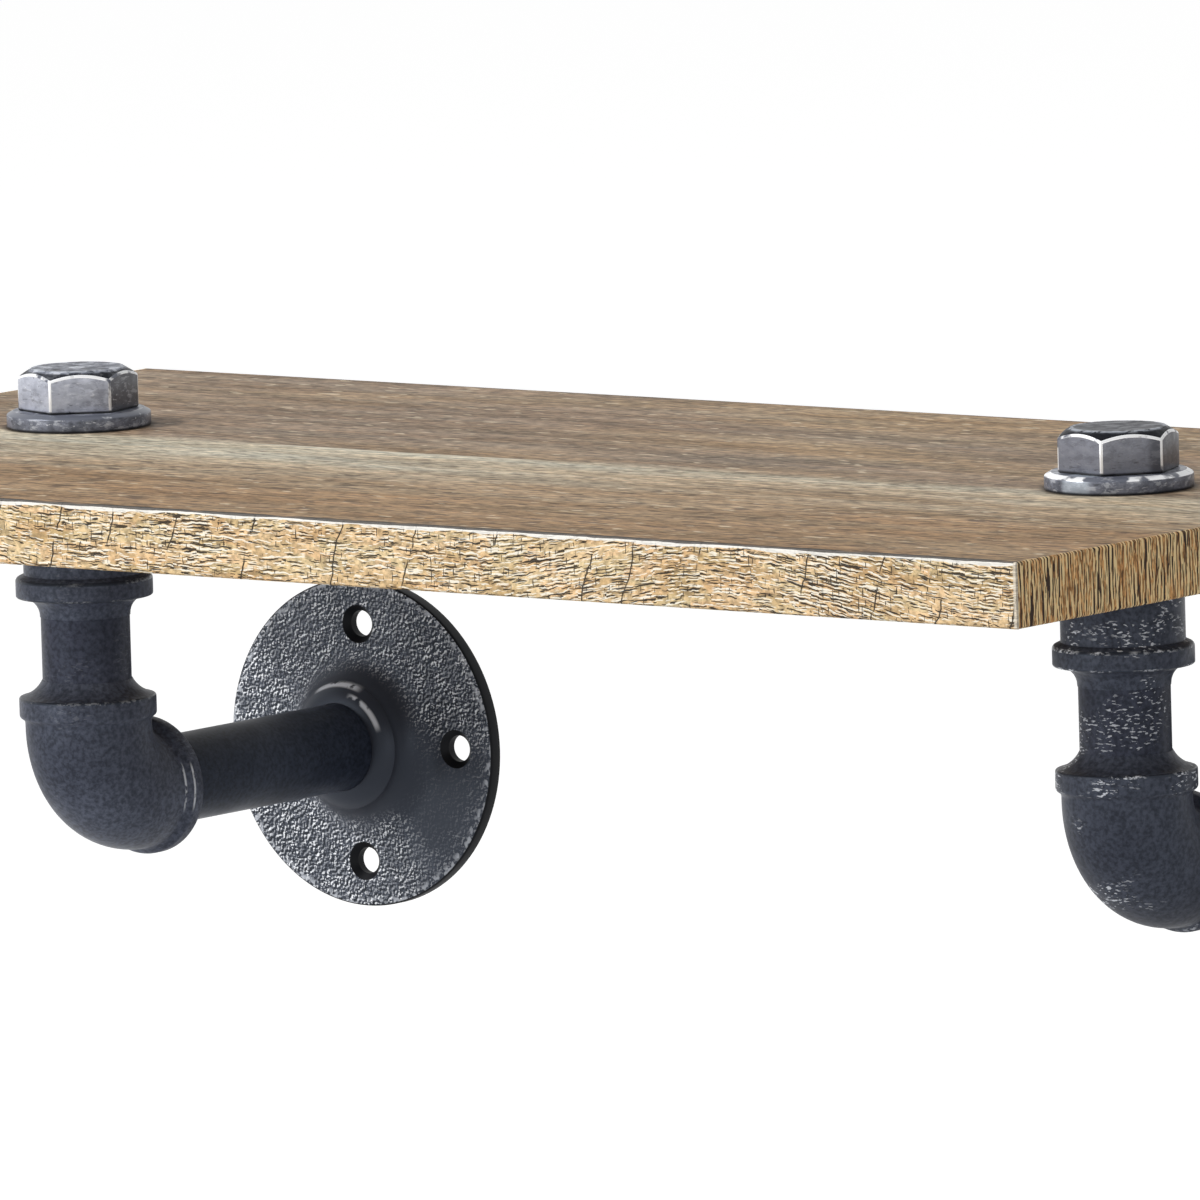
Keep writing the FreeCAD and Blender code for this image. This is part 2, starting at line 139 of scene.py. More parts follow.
def move_mesh(piece, step, axis="Z", degrees=0, center=(0, 0, 0)):
    """Turn a piece's mesh about a point, anticlockwise, and then move it by a step in millimetres."""
    edit_all(piece)
    if degrees:
        turn = -math.radians(degrees)
        bpy.ops.transform.rotate(value=turn, orient_axis=axis, center_override=Vector(center) * MM)
    bpy.ops.transform.translate(value=Vector(step) * MM)
    bpy.ops.object.mode_set(mode="OBJECT")


def combine(piece, tool, operation):
    """Cut, join or intersect a piece with another closed form, which is then thrown away."""
    pick(piece)
    bpy.ops.object.modifier_add(type="BOOLEAN")
    boolean = piece.modifiers[-1]
    boolean.operation = operation
    boolean.solver = "EXACT"
    boolean.object = tool
    bpy.ops.object.modifier_apply(modifier=boolean.name)
    pick(tool)
    bpy.ops.object.delete()
    edit_all(piece)
    close_mesh()


def break_edges(piece, width, angle, material=-1):
    """Bevel all edges sharper than an angle, with a material of their own if one is named."""
    pick(piece)
    bpy.ops.object.modifier_add(type="BEVEL")
    bevel = piece.modifiers[-1]
    bevel.width = width * MM
    bevel.segments = BEVEL_SEGMENTS
    bevel.limit_method = "ANGLE"
    bevel.angle_limit = math.radians(angle)
    bevel.material = material
    bpy.ops.object.modifier_apply(modifier=bevel.name)


def copy_to_right(piece):
    """Copy a left piece, with a mesh of its own, to the right bracket."""
    pick(piece)
    bpy.ops.object.duplicate()
    twin = bpy.context.object
    twin.name = piece.name.replace("left", "right")
    move_mesh(twin, (BRACKET_SPACING, 0, 0))
    return twin


print("brackets", BRACKET_SPACING, "mm apart and", BRACKET_REACH, "mm out from the wall")

# %% [markdown]
# A finished piece rides on the shelf's one body and stands for its CAD node, which is then hidden. Its
# finishes sit in material slots: the first covers it all, and faces are given another by their place.

# %% Dress and hand over a piece
SMOOTH_ANGLE = math.radians(32)


def dress(piece, *finishes):
    """Give a piece its finishes, of which the first covers it all for now."""
    for finish in finishes:
        piece.data.materials.append(finish)


def finish_faces(piece, slot, chosen):
    """Give a finish, by its slot number, to the faces whose middle passes a test in millimetres."""
    edit_all(piece)
    bpy.ops.mesh.select_mode(type="FACE")
    bpy.ops.mesh.select_all(action="DESELECT")
    mesh = bmesh.from_edit_mesh(piece.data)
    for face in mesh.faces:
        face.select_set(chosen(face.calc_center_median() / MM))
    bmesh.update_edit_mesh(piece.data)
    piece.active_material_index = slot
    bpy.ops.object.material_slot_assign()
    bpy.ops.mesh.select_mode(type="VERT")
    bpy.ops.object.mode_set(mode="OBJECT")


def hand_over(piece, node):
    """Smooth a piece, let it ride on the shelf and stand for its CAD node."""
    pick(piece)
    bpy.ops.object.shade_smooth_by_angle(angle=SMOOTH_ANGLE)
    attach(piece, "root")
    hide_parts(node)
    low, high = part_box(node)
    size = [round(c / MM, 1) for c in piece.dimensions]
    print(piece.name, "size", size, "CAD", [round(c / MM, 1) for c in high - low], "mm")


def hand_over_pair(left, right, node):
    """Hand over a left piece and its twin, each for its own bracket's node."""
    hand_over(left, f"left_{node}")
    hand_over(right, f"right_{node}")


print("faces meet smoothly up to", round(math.degrees(SMOOTH_ANGLE)), "degrees")

# %% [markdown]
# ## Tools for the finishes
# Each finish is a small node tree around one shader. All patterns read object coordinates, stretched by
# a Mapping node, because they are then in real metres on every piece and need no unwrapping. Nodes could
# be wired one by one, but a few words such as plus, times and near keep each finish short to read.

# %% Node helpers
CARD_STEPS = 255


def paint(red, green, blue):
    """A colour as a paint card gives it, 0 to 255, made linear."""
    card = Color((red, green, blue)) / CARD_STEPS
    return (*card.from_srgb_to_scene_linear(), 1)


def add_node(tree, kind, values=None, **settings):
    """Add a node with its settings, and set or link its sockets."""
    node = tree.nodes.new(f"ShaderNode{kind}")
    for name, value in settings.items():
        setattr(node, name, value)
    for socket, value in (values or {}).items():
        if isinstance(value, bpy.types.NodeSocket):
            tree.links.new(value, node.inputs[socket])
        else:
            node.inputs[socket].default_value = value
    return node


print("a mid grey card is", round(paint(128, 128, 128)[0], 3), "in linear light")

# %% [markdown]
# A finish keeps its shader and the three coordinates at hand: along the board, out of the wall and up.
# Its shorthands add a node or a few and return the socket to go on with, so that a pattern can be
# written as a sum. Values that never change go straight to the shader's own sockets.

# %% A finish and its shorthands
SHADER_SOCKETS = {
    "gloss": "Specular IOR Level",
    "tint": "Specular Tint",
    "roughness": "Roughness",
    "metal": "Metallic",
}
NOISE_MIDDLE = 0.5
WIDE = (0.3, 0.7)
MEDIUM = (0.32, 0.68)
NARROW = (0.35, 0.65)
COLOUR_SOCKETS = (0, 6, 7)


class Finish:
    """One material: a principled shader, and shorthands for the nodes that feed it."""

    def __init__(self, name, **constants):
        self.material = bpy.data.materials.new(name)
        self.material.use_nodes = True
        self.tree = self.material.node_tree
        self.tree.nodes.clear()
        values = {SHADER_SOCKETS[word]: value for word, value in constants.items()}
        self.shader = self.add("BsdfPrincipled", values)
        self.add("OutputMaterial", {"Surface": self.shader.outputs["BSDF"]})
        self.place = self.add("TexCoord").outputs["Object"]
        self.along, self.out, self.up = self.add("SeparateXYZ", {"Vector": self.place}).outputs

    def add(self, kind, values=None, **settings):
        """A node of this finish."""
        return add_node(self.tree, kind, values, **settings)

    def calc(self, operation, first, second=0.0):
        """Arithmetic on two values."""
        return self.add("Math", {0: first, 1: second}, operation=operation).outputs[0]

    def plus(self, first, second):
        """The sum of two values."""
        return self.calc("ADD", first, second)

    def minus(self, first, second):
        """The difference of two values."""
        return self.calc("SUBTRACT", first, second)

    def times(self, product, *factors):
        """The product of several values."""
        for factor in factors:
            product = self.calc("MULTIPLY", product, factor)
        return product

    def most(self, first, second):
        """The larger of two values."""
        return self.calc("MAXIMUM", first, second)

    def off(self, value, middle):
        """How far a value is from a middle, to either side."""
        return self.calc("ABSOLUTE", self.minus(value, middle))

    def ease(self, value, low, high, floor=0.0, ceiling=1.0):
        """Run smoothly from floor to ceiling while a value goes from low to high."""
        values = {"Value": value, "From Min": low, "From Max": high, "To Min": floor, "To Max": ceiling}
        return self.add("MapRange", values, interpolation_type="SMOOTHSTEP").outputs["Result"]

    def near(self, value, middle, inner, outer, amount=1.0):
        """An amount within an inner distance of a middle, which fades to nothing at an outer one."""
        return self.ease(self.off(value, middle), inner, outer, amount, 0.0)

    def noise(self, per_metre, detail=2.0, shift=(0, 0, 0), place=None, roughness=0.5, distortion=0.0):
        """Noise with its own number of patches per metre along each axis."""
        source = place or self.place
        mapping = self.add("Mapping", {"Vector": source, "Scale": per_metre, "Location": shift})
        values = {"Vector": mapping.outputs[0], "Scale": 1.0, "Detail": detail, "Roughness": roughness,
                  "Distortion": distortion}
        return self.add("TexNoise", values).outputs["Fac"]

    def sway(self, per_metre, amount, **texture):
        """Noise about zero, as strong as an amount."""
        return self.times(self.minus(self.noise(per_metre, **texture), NOISE_MIDDLE), amount)

    def mix(self, factor, first, second, blend="MIX"):
        """Blend two colours."""
        values = dict(zip(COLOUR_SOCKETS, (factor, first, second)))
        return self.add("Mix", values, data_type="RGBA", blend_type=blend).outputs[2]

    def shade(self, tone, factor):
        """Multiply a colour by a value or by a tint."""
        return self.mix(1.0, tone, factor, "MULTIPLY")

    def bump(self, height, depth):
        """Feed a height pattern to the shader as a bump, its depth in metres."""
        values = {"Height": height, "Distance": depth, "Strength": 1.0}
        self.feed("Normal", self.add("Bump", values).outputs["Normal"])

    def feed(self, socket, value):
        """Link a pattern to one of the shader's sockets."""
        self.tree.links.new(value, self.shader.inputs[socket])


print("shader constants:", ", ".join(SHADER_SOCKETS.values()))

# %% [markdown]
# ## The printed oak of the board's top
# The board isn't solid oak: it is wood particle board under a printed sheet. The print shows a pair of
# planks with a joint along the middle. The plank at the back is taupe with warm streaks. The one in front
# starts pale at the joint and turns brown towards the edge. An image would be the usual way, but a few
# noises give the same streaks and pores at any resolution. They are stretched along the planks, so that
# the print reads as wood from above too. First come the two planks' own colours.

# %% Two planks
FIGURE = (5, 26, 1)
FIGURE_LEVELS = (0.38, 0.66)
PLANK_JOINT = 0.121
JOINT_WAVES = (30, 5, 1)
JOINT_WANDER = 0.003
CRISP_SPOT = -0.045
CRISP_REACH = (0.02, 0.07)
JOINT_SOFTNESS = (0.0004, 0.006)
CRISP_SOFTNESS = (0.0006, 0.004)
JOINT_LINE = (0.0003, 0.0012)
PALE_REACH = (-0.01, 0.075)
PALE_WANDER = 0.07
BLEACH_TURN = (-0.08, 0.1)
TAUPE = paint(135, 116, 97)
WARM_TAUPE = paint(155, 132, 103)
BLEACHED_LEFT = paint(196, 189, 170)
BLEACHED_RIGHT = paint(188, 174, 151)
EDGE_BROWN = paint(146, 119, 88)


def two_planks(oak, depth):
    """The planks' colour, how far the front one has turned brown, and the line of a crisp joint."""
    figure = oak.noise(FIGURE, detail=3)
    from_joint = oak.minus(depth, PLANK_JOINT)
    from_wavy_joint = oak.plus(from_joint, oak.sway(JOINT_WAVES, JOINT_WANDER))
    softness = oak.ease(oak.off(oak.along, CRISP_SPOT), *CRISP_REACH, *JOINT_SOFTNESS)
    in_front = oak.ease(from_wavy_joint, oak.times(softness, -1.0), softness)
    back_tone = oak.mix(oak.ease(figure, *FIGURE_LEVELS), TAUPE, WARM_TAUPE)
    figure_sway = oak.times(oak.minus(figure, NOISE_MIDDLE), PALE_WANDER)
    browning = oak.ease(oak.plus(from_joint, figure_sway), *PALE_REACH)
    bleach = oak.mix(oak.ease(oak.along, *BLEACH_TURN), BLEACHED_LEFT, BLEACHED_RIGHT)
    front_tone = oak.mix(browning, bleach, EDGE_BROWN)
    crisp = oak.ease(softness, *CRISP_SOFTNESS, floor=0.7, ceiling=0.0)
    joint_line = oak.times(oak.near(from_wavy_joint, 0.0, *JOINT_LINE), crisp)
    return oak.mix(in_front, back_tone, front_tone), browning, joint_line


print("plank joint", PLANK_JOINT, "m out from the wall")

# %% [markdown]
# Over the planks lie the marks of the print: broad shifts of hue, streaks, fine flecks, dark pores and a
# few pale scuffs. Round each washer a ring of painted shadow darkens the board where the washer sits. Along
# the front rim, where the sheet ends, runs a dark line: the print's own dark edge with painted shade of the
# joint there. The distance from a bracket's axis says where the washer is, and since both brackets stand
# equally far from the middle of the board, one formula serves for both.

# %% Distance from a bracket
HALF_SPACING = BRACKET_SPACING / 2 * MM


def past_axis(finish):
    """How far to the outer side of its bracket's axis a place is."""
    return finish.minus(finish.calc("ABSOLUTE", finish.along), HALF_SPACING)


def spoke(finish, aside, ahead):
    """The way from an axis to a place."""
    return finish.add("CombineXYZ", {"X": aside, "Y": ahead}).outputs[0]


def length(finish, way):
    """The length of a way."""
    return finish.add("VectorMath", {0: way}, operation="LENGTH").outputs["Value"]


print("axes", HALF_SPACING, "m to either side")

# %% Printed oak
HUE_BANDS = (9, 85, 1)
STREAKS = (14, 110, 1)
STREAK_LEVELS = (0.28, 0.72)
FLECKS = (210, 620, 1)
PORES = (95, 430, 1)
PORE_LEVELS = (0.58, 0.63)
BROWNED = (0.2, 0.9)
SCUFFS = (120, 380, 1)
SCUFF_LEVELS = (0.64, 0.7)
SCUFF_STRENGTH = 0.6
RIM_PATCHES = (90, 1, 1)
RIM_LEVELS = (0.36, 0.5)
FRONT_RIM = 0.2312
RIM_BLUR = 0.0006
WASHER_EDGE = 0.0172
CONTACT_SHADOW_REACH = 0.0022
WARM_TINT = (1.07, 0.98, 0.88, 1)
COOL_TINT = (0.94, 1.01, 1.07, 1)
PORE_BROWN = paint(72, 54, 40)
SCUFF_PALE = paint(232, 216, 188)
JOINT_PALE = paint(222, 214, 196)
RIM_DARK = paint(44, 36, 30)
WASHER_SHADOW_DARK = paint(48, 38, 30)


def printed_oak():
    """The decor sheet: two planks, streaks along X, dark pores and light flecks."""
    oak = Finish("printed_oak", gloss=0.14)
    depth = oak.times(oak.out, -1.0)
    tone, browning, joint_line = two_planks(oak, depth)
    hue = oak.noise(HUE_BANDS, detail=7, roughness=0.7, shift=(1, 8, 0))
    tone = oak.shade(tone, oak.mix(oak.ease(hue, *WIDE), WARM_TINT, COOL_TINT))
    streak = oak.noise(STREAKS, detail=5, roughness=0.65, shift=(3, 1, 0))
    tone = oak.shade(tone, oak.ease(streak, *STREAK_LEVELS, floor=0.7, ceiling=1.28))
    fleck = oak.noise(FLECKS, detail=3, roughness=0.65, shift=(2, 6, 0))
    tone = oak.shade(tone, oak.ease(fleck, *WIDE, floor=0.5, ceiling=1.5))
    pores = oak.ease(oak.noise(PORES, detail=3, shift=(7, 2, 0)), *PORE_LEVELS)
    pore_strength = oak.ease(browning, *BROWNED, floor=0.35, ceiling=0.75)
    tone = oak.mix(oak.times(pores, pore_strength), tone, PORE_BROWN)
    scuffs = oak.ease(oak.noise(SCUFFS, detail=2, shift=(5, 9, 0)), *SCUFF_LEVELS)
    tone = oak.mix(oak.times(scuffs, SCUFF_STRENGTH), tone, SCUFF_PALE)
    tone = oak.mix(joint_line, tone, JOINT_PALE)
    # A dark line along the front rim: the print's dark edge with painted shade of the joint.
    rim_noise = oak.noise(RIM_PATCHES, detail=3, shift=(4, 0, 0))
    rim_shade = oak.ease(rim_noise, *RIM_LEVELS, floor=0.5)
    at_rim = oak.ease(depth, FRONT_RIM, FRONT_RIM + RIM_BLUR)
    tone = oak.mix(oak.times(at_rim, rim_shade), tone, RIM_DARK)
    # Painted contact shadow: a dark ring on the board round each washer, where it sits.
    from_plug = length(oak, spoke(oak, past_axis(oak), oak.plus(oak.out, BRACKET_REACH * MM)))
    painted_contact_shadow = oak.ease(from_plug, WASHER_EDGE, WASHER_EDGE + CONTACT_SHADOW_REACH, floor=0.8, ceiling=0.0)
    oak.feed("Base Color", oak.mix(painted_contact_shadow, tone, WASHER_SHADOW_DARK))
    oak.feed("Roughness", oak.ease(streak, *WIDE, floor=0.66, ceiling=0.54))
    oak.bump(oak.minus(fleck, pores), depth=0.00012)
    return oak.material


def dress_nodes(finish, *nodes):
    """Give CAD nodes a finish. Their meshes stay as they are."""
    for node in nodes:
        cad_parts[node].material_slots[0].material = finish
        print(node, "has", finish.name)


dress_nodes(printed_oak(), "top_laminate", "bottom_laminate")

# %% [markdown]
# ## The crackled strip on the long edges
# The long edges carry a strip that is printed as weathered end grain: light tan, with short dark cracks
# that follow the bent growth rings, and a few splits across them. The rings are had by bending the height
# that the patterns read: up in a wide hump near each end, with a wobble, and with a small jog from one
# brick-shaped cell to the next. That is quicker than drawing rings, and the cracks then follow them.

# %% Bent growth rings
HUMP_MIDDLE = 0.135
HUMP_REACH = 0.08
HUMP_HEIGHT = 0.009
WOBBLE = (60, 1, 150)
WOBBLE_HEIGHT = 0.0015
RIPPLE = (420, 1, 300)
RIPPLE_HEIGHT = 0.0009
BRICKS = (120, 1, 420)
BRICK_JOG = 0.0009


def cells(finish, per_metre, place=None, **settings):
    """Voronoi cells: the distance from each cell's middle, and three random values per cell."""
    source = place or finish.place
    mapping = finish.add("Mapping", {"Vector": source, "Scale": per_metre})
    voronoi = finish.add("TexVoronoi", {"Vector": mapping.outputs[0], "Scale": 1.0}, **settings)
    chances = finish.add("SeparateColor", {"Color": voronoi.outputs["Color"]}).outputs
    return voronoi.outputs["Distance"], chances


def bent_rings(edge):
    """Two places to read patterns at, bent and then jogged, with each brick's chance and the wobble."""
    hump = edge.near(edge.calc("ABSOLUTE", edge.along), HUMP_MIDDLE, 0.0, HUMP_REACH, HUMP_HEIGHT)
    wobble = edge.sway(WOBBLE, 1.0, detail=3)
    height = edge.plus(edge.minus(edge.up, hump), edge.times(wobble, WOBBLE_HEIGHT))
    height = edge.plus(height, edge.sway(RIPPLE, RIPPLE_HEIGHT, detail=2, shift=(3, 0, 8)))
    bent = edge.add("CombineXYZ", {"X": edge.along, "Y": edge.out, "Z": height}).outputs[0]
    _, (jog, chance, _) = cells(edge, BRICKS, place=bent, distance="CHEBYCHEV")
    height = edge.plus(height, edge.times(jog, BRICK_JOG))
    jogged = edge.add("CombineXYZ", {"X": edge.along, "Y": edge.out, "Z": height}).outputs[0]
    return bent, jogged, chance, wobble


print("growth rings rise", round(HUMP_HEIGHT / MM, 1), "mm")

# %% [markdown]
# For the cracks a noise, stretched along the strip, is taken for a relief. Where it falls steeply downwards
# lies a dark crack, and where it falls steeply upwards a pale lip. A threshold on the noise itself would
# give wide blots, but a steep slope is thin. The splits are the borders of random strips, so they are
# all equally thin.

# %% Cracks, lips and splits
FLANK = 0.22
WIDE_CRACKS = ((130, 1, 1250), 0.158)
FINE_CRACKS = ((300, 1, 1750), 0.134)
CRACK_BLUR = 0.012
LIP_LEAD = 0.02
LIP_BLUR = 0.01
CROWDS = (38, 1, 90)
CROWD_STRENGTH = 0.12
CROWD_RUN = (0.02, 0.2)
CROWD_GAIN = (-0.004, 0.012)
TICKS = (1500, 1, 380)
TICK_LEVELS = (0.2, 0.23)
SPLIT_LEAN = 0.33
SPLIT_WOBBLE = 0.004
SPLITS_PER_METRE = 48
SPLIT_WIDTH = 0.00018
SEAM_BLUR = (0.6, 1.4)
SPLIT_PATCHES = (60, 1, 120)
SPLIT_LEVELS = (0.41, 0.49)


def relief(finish, per_metre, flank, **texture):
    """How steeply a noise falls along a flank: the same noise twice, a little apart."""
    ahead = finish.noise(per_metre, shift=Vector(flank), **texture)
    behind = finish.noise(per_metre, shift=-Vector(flank), **texture)
    return finish.minus(ahead, behind)


def seams(finish, value, per_metre, width):
    """One on the borders between random strips along a value, a width in metres from each border."""
    strips = finish.add("TexVoronoi", {"W": value, "Scale": per_metre}, voronoi_dimensions="1D",
                        feature="DISTANCE_TO_EDGE")
    low, high = [width * per_metre * blur for blur in SEAM_BLUR]
    return finish.ease(strips.outputs["Distance"], low, high, 1.0, 0.0)


def strip_cracks(edge, place, wobble):
    """Where the strip is dark, and where a crack has a pale lip."""
    crowd = edge.sway(CROWDS, CROWD_STRENGTH, shift=(2, 0, 5))
    crowd = edge.plus(crowd, edge.ease(edge.along, *CROWD_RUN, *CROWD_GAIN))
    dark = 0.0
    lips = 0.0
    for per_metre, steepness in (WIDE_CRACKS, FINE_CRACKS):
        slope = relief(edge, per_metre, (0, 0, FLANK), detail=1.0, place=place)
        cracked = edge.ease(edge.plus(slope, crowd), steepness, steepness + CRACK_BLUR)
        dark = edge.most(dark, cracked)
        lit = edge.ease(edge.minus(crowd, slope), steepness - LIP_LEAD, steepness + LIP_BLUR)
        lips = edge.most(lips, lit)
    tick_slope = relief(edge, TICKS, (FLANK, 0, 0), detail=1.0, place=place)
    dark = edge.most(dark, edge.ease(edge.plus(tick_slope, crowd), *TICK_LEVELS))
    leaning = edge.minus(edge.along, edge.times(edge.up, SPLIT_LEAN))
    leaning = edge.plus(leaning, edge.times(wobble, SPLIT_WOBBLE))
    splits = seams(edge, leaning, SPLITS_PER_METRE, SPLIT_WIDTH)
    stretches = edge.ease(edge.noise(SPLIT_PATCHES, detail=2, shift=(9, 0, 3)), *SPLIT_LEVELS)
    return edge.most(dark, edge.times(splits, stretches)), lips


print("about", SPLITS_PER_METRE, "splits per metre")

# %% [markdown]
# The strip's sharp upper corner is eased, and there the print is cut through to a ragged pale line with a
# dark hairline above it. The pale line is also a painted highlight on the eased edge, and the hairline is
# painted shade where the strip meets the top. The last half millimetre before each end is pale too.

# %% Crackled long edges
BOARD_TOP = 0.0887
HALF_BOARD = 0.216
BLOTCHES = (60, 1, 230)
SPECKLES = (600, 1, 900)
LIP_STRENGTH = 0.85
CRACK_STRENGTH = 0.95
CORNER_STRENGTH = 0.95
HAIRLINE_STRENGTH = 0.9
CORNER_PATCHES = (60, 1, 1)
CORNER_LEVELS = (0.4, 0.62)
CORNER_WIDTH = (0.0006, 0.0012)
HAIRLINE_WIDTH = (0.0004, 0.0002)
PALE_END = (HALF_BOARD - 0.0009, HALF_BOARD - 0.0005)
TAN = paint(196, 164, 120)
LIGHT_TAN = paint(222, 194, 153)
ROSY_TINT = (1.05, 0.975, 0.93, 1)
GREENISH_TINT = (0.95, 1.01, 0.98, 1)
LIP_CREAM = paint(252, 246, 230)
CRACK_BROWN = paint(32, 25, 18)
CORNER_PALE_AND_HIGHLIGHT = paint(246, 243, 236)
HAIRLINE_SHADE = paint(40, 33, 28)
END_PALE = paint(224, 214, 196)


def crackled_edge():
    """The strip on the front and back edge."""
    edge = Finish("crackled_edge", gloss=0.2)
    bent, jogged, chance, wobble = bent_rings(edge)
    blotch = edge.noise(BLOTCHES, detail=3, place=bent)
    tone = edge.mix(edge.ease(blotch, *NARROW), TAN, LIGHT_TAN)
    tone = edge.shade(tone, edge.mix(chance, ROSY_TINT, GREENISH_TINT))
    speckle = edge.noise(SPECKLES, detail=3, place=bent, roughness=0.65)
    tone = edge.shade(tone, edge.ease(speckle, *WIDE, floor=0.62, ceiling=1.32))
    dark, lips = strip_cracks(edge, jogged, wobble)
    tone = edge.mix(edge.times(lips, LIP_STRENGTH), tone, LIP_CREAM)
    tone = edge.mix(edge.times(dark, CRACK_STRENGTH), tone, CRACK_BROWN)
    below_top = edge.minus(BOARD_TOP, edge.up)
    # The pale corner line: the print cut through, with a painted highlight on the eased edge.
    corner_noise = edge.noise(CORNER_PATCHES, detail=4, shift=(6, 0, 0))
    corner_width = edge.ease(corner_noise, *CORNER_LEVELS, *CORNER_WIDTH)
    corner = edge.calc("LESS_THAN", below_top, corner_width)
    tone = edge.mix(edge.times(corner, CORNER_STRENGTH), tone, CORNER_PALE_AND_HIGHLIGHT)
    # Painted shade: a dark hairline along the top, where the strip meets the board's top.
    hairline = edge.calc("LESS_THAN", below_top, edge.ease(blotch, *NARROW, *HAIRLINE_WIDTH))
    tone = edge.mix(edge.times(hairline, HAIRLINE_STRENGTH), tone, HAIRLINE_SHADE)
    at_end = edge.ease(edge.calc("ABSOLUTE", edge.along), *PALE_END, floor=0.0, ceiling=0.8)
    edge.feed("Base Color", edge.mix(at_end, tone, END_PALE))
    edge.feed("Roughness", edge.ease(speckle, *WIDE, floor=0.52, ceiling=0.66))
    edge.bump(edge.times(dark, -1.0), depth=0.0002)
    return edge.material


dress_nodes(crackled_edge(), "front_edge_band", "back_edge_band")

# %% [markdown]
# ## The streaked strip on the short ends
# On the short ends the same print is turned, so its streaks stand upright: dark ones and pale ones about
# a millimetre wide on a brown ground, with fine marks between them. The relief of a noise that is long
# along Z gives both again, the dark streak on one flank and the pale one on the other.

# %% Streaked ends
WIDE_STREAKS = (1, 1000, 100)
FINE_STREAKS = (1, 1500, 230)
END_BANDS = (1, 560, 70)
END_MARKS = (1, 1700, 700)
END_CROWDS = (1, 260, 70)
END_CROWD_STRENGTH = 0.3
DARK_SLOPE = (0.12, 0.135)
PALE_SLOPE = (0.07, 0.09)
END_BROWN = paint(166, 118, 72)
END_TAN = paint(220, 168, 110)
STREAK_CREAM = paint(255, 226, 170)
STREAK_BROWN = paint(42, 25, 12)


def streaked_end():
    """The strip on the left and right end."""
    end = Finish("streaked_end", gloss=0.2)
    bands = end.noise(END_BANDS, detail=3, roughness=0.6)
    tone = end.mix(end.ease(bands, *MEDIUM), END_BROWN, END_TAN)
    marks = end.noise(END_MARKS, detail=3, shift=(0, 4, 0))
    tone = end.shade(tone, end.ease(marks, *WIDE, floor=0.55, ceiling=1.45))
    crowd = end.sway(END_CROWDS, END_CROWD_STRENGTH, shift=(0, 2, 5))
    dark = 0.0
    pale = 0.0
    for per_metre in (WIDE_STREAKS, FINE_STREAKS):
        slope = relief(end, per_metre, (0, FLANK, 0), detail=1.0)
        dark = end.most(dark, end.ease(end.plus(slope, crowd), *DARK_SLOPE))
        pale = end.most(pale, end.ease(end.minus(crowd, slope), *PALE_SLOPE))
    tone = end.mix(pale, tone, STREAK_CREAM)
    end.feed("Base Color", end.mix(dark, tone, STREAK_BROWN))
    end.feed("Roughness", end.ease(bands, *WIDE, floor=0.66, ceiling=0.54))
    end.bump(dark, depth=-0.0002)
    return end.material


dress_nodes(streaked_end(), "left_edge_band", "right_edge_band")

# %% [markdown]
# ## The board's core
# The core shows only in the hair of room round the plugs. It is pressed wood particles, so its finish is
# flat chips of a few tans, one cell of a Voronoi pattern for each chip.

# %% Wood particle core
CHIPS = (300, 420, 900)
CHIP_BROWN = paint(150, 118, 80)
CHIP_TAN = paint(208, 178, 134)


def particle_core():
    """Pressed chips in several tans."""
    core = Finish("particle_core", gloss=0.2, roughness=0.85)
    from_middle, chances = cells(core, CHIPS)
    core.feed("Base Color", core.mix(chances[0], CHIP_BROWN, CHIP_TAN))
    core.bump(from_middle, depth=0.0002)
    return core.material


dress_nodes(particle_core(), "board_core")

# %% [markdown]
# ## Black lacquer on smooth iron
# Pipe and fittings wear a thin slate-black lacquer, but the iron under it differs. The drawn pipe is
# smooth. The fittings are cast in fine sand: they show faint lumps, and small clusters of pin-head glints,
# painted highlights over spots where the lacquer is rubbed, more on the right bracket than on the left. A
# mask painted by hand could say where, but a few heights and one noise do it for both brackets.

# %% Where the lacquer is rubbed and glints are painted
RIGHTWARDS = (-0.05, 0.1)
ELBOW_BAND_RUB_AND_GLINT = (0.0215, 0.0035)
NECK_RUB_AND_GLINT = (0.034, 0.007)
COUPLING_RUB_AND_GLINT = (0.0555, 0.005)
RUB_AND_GLINT_GAIN = 0.12
RUB_AND_GLINT_CORE = 0.6
STROKE_PLACES = (-0.0906, -0.0888)
STROKE_BLUR = (0.0001, 0.00035)
STROKE_PATCHES = (300, 900, 420)
STROKE_LEVELS = (0.36, 0.48)
STROKE_TOP = (0.0045, 0.007)
STROKE_FOOT = (-0.006, -0.003)
STROKE_SIDE = (0.012, 0.013)


def glint_and_rub_places(iron):
    """How many more rubbed spots and painted glints go on the elbow's upright band, the neck and the
    coupling.
    """
    more = 0.0
    for height, reach in (ELBOW_BAND_RUB_AND_GLINT, NECK_RUB_AND_GLINT, COUPLING_RUB_AND_GLINT):
        more = iron.most(more, iron.near(iron.up, height, reach * RUB_AND_GLINT_CORE, reach, RUB_AND_GLINT_GAIN))
    return more


def painted_rim_highlights(iron):
    """Painted highlights: two bright lines round the level socket of an elbow, on both of its flanks."""
    breaks = iron.ease(iron.noise(STROKE_PATCHES, detail=3, shift=(5, 5, 1)), *STROKE_LEVELS)
    above = iron.ease(iron.up, *STROKE_TOP, floor=1.0, ceiling=0.0)
    below = iron.ease(iron.up, *STROKE_FOOT)
    on_flank = iron.ease(iron.calc("ABSOLUTE", past_axis(iron)), *STROKE_SIDE)
    strokes = 0.0
    for place in STROKE_PLACES:
        strokes = iron.most(strokes, iron.near(iron.out, place, *STROKE_BLUR))
    return iron.times(strokes, above, below, breaks, on_flank)


# The two painted highlight lines lie at these places.
print("scratches at", STROKE_PLACES, "m")

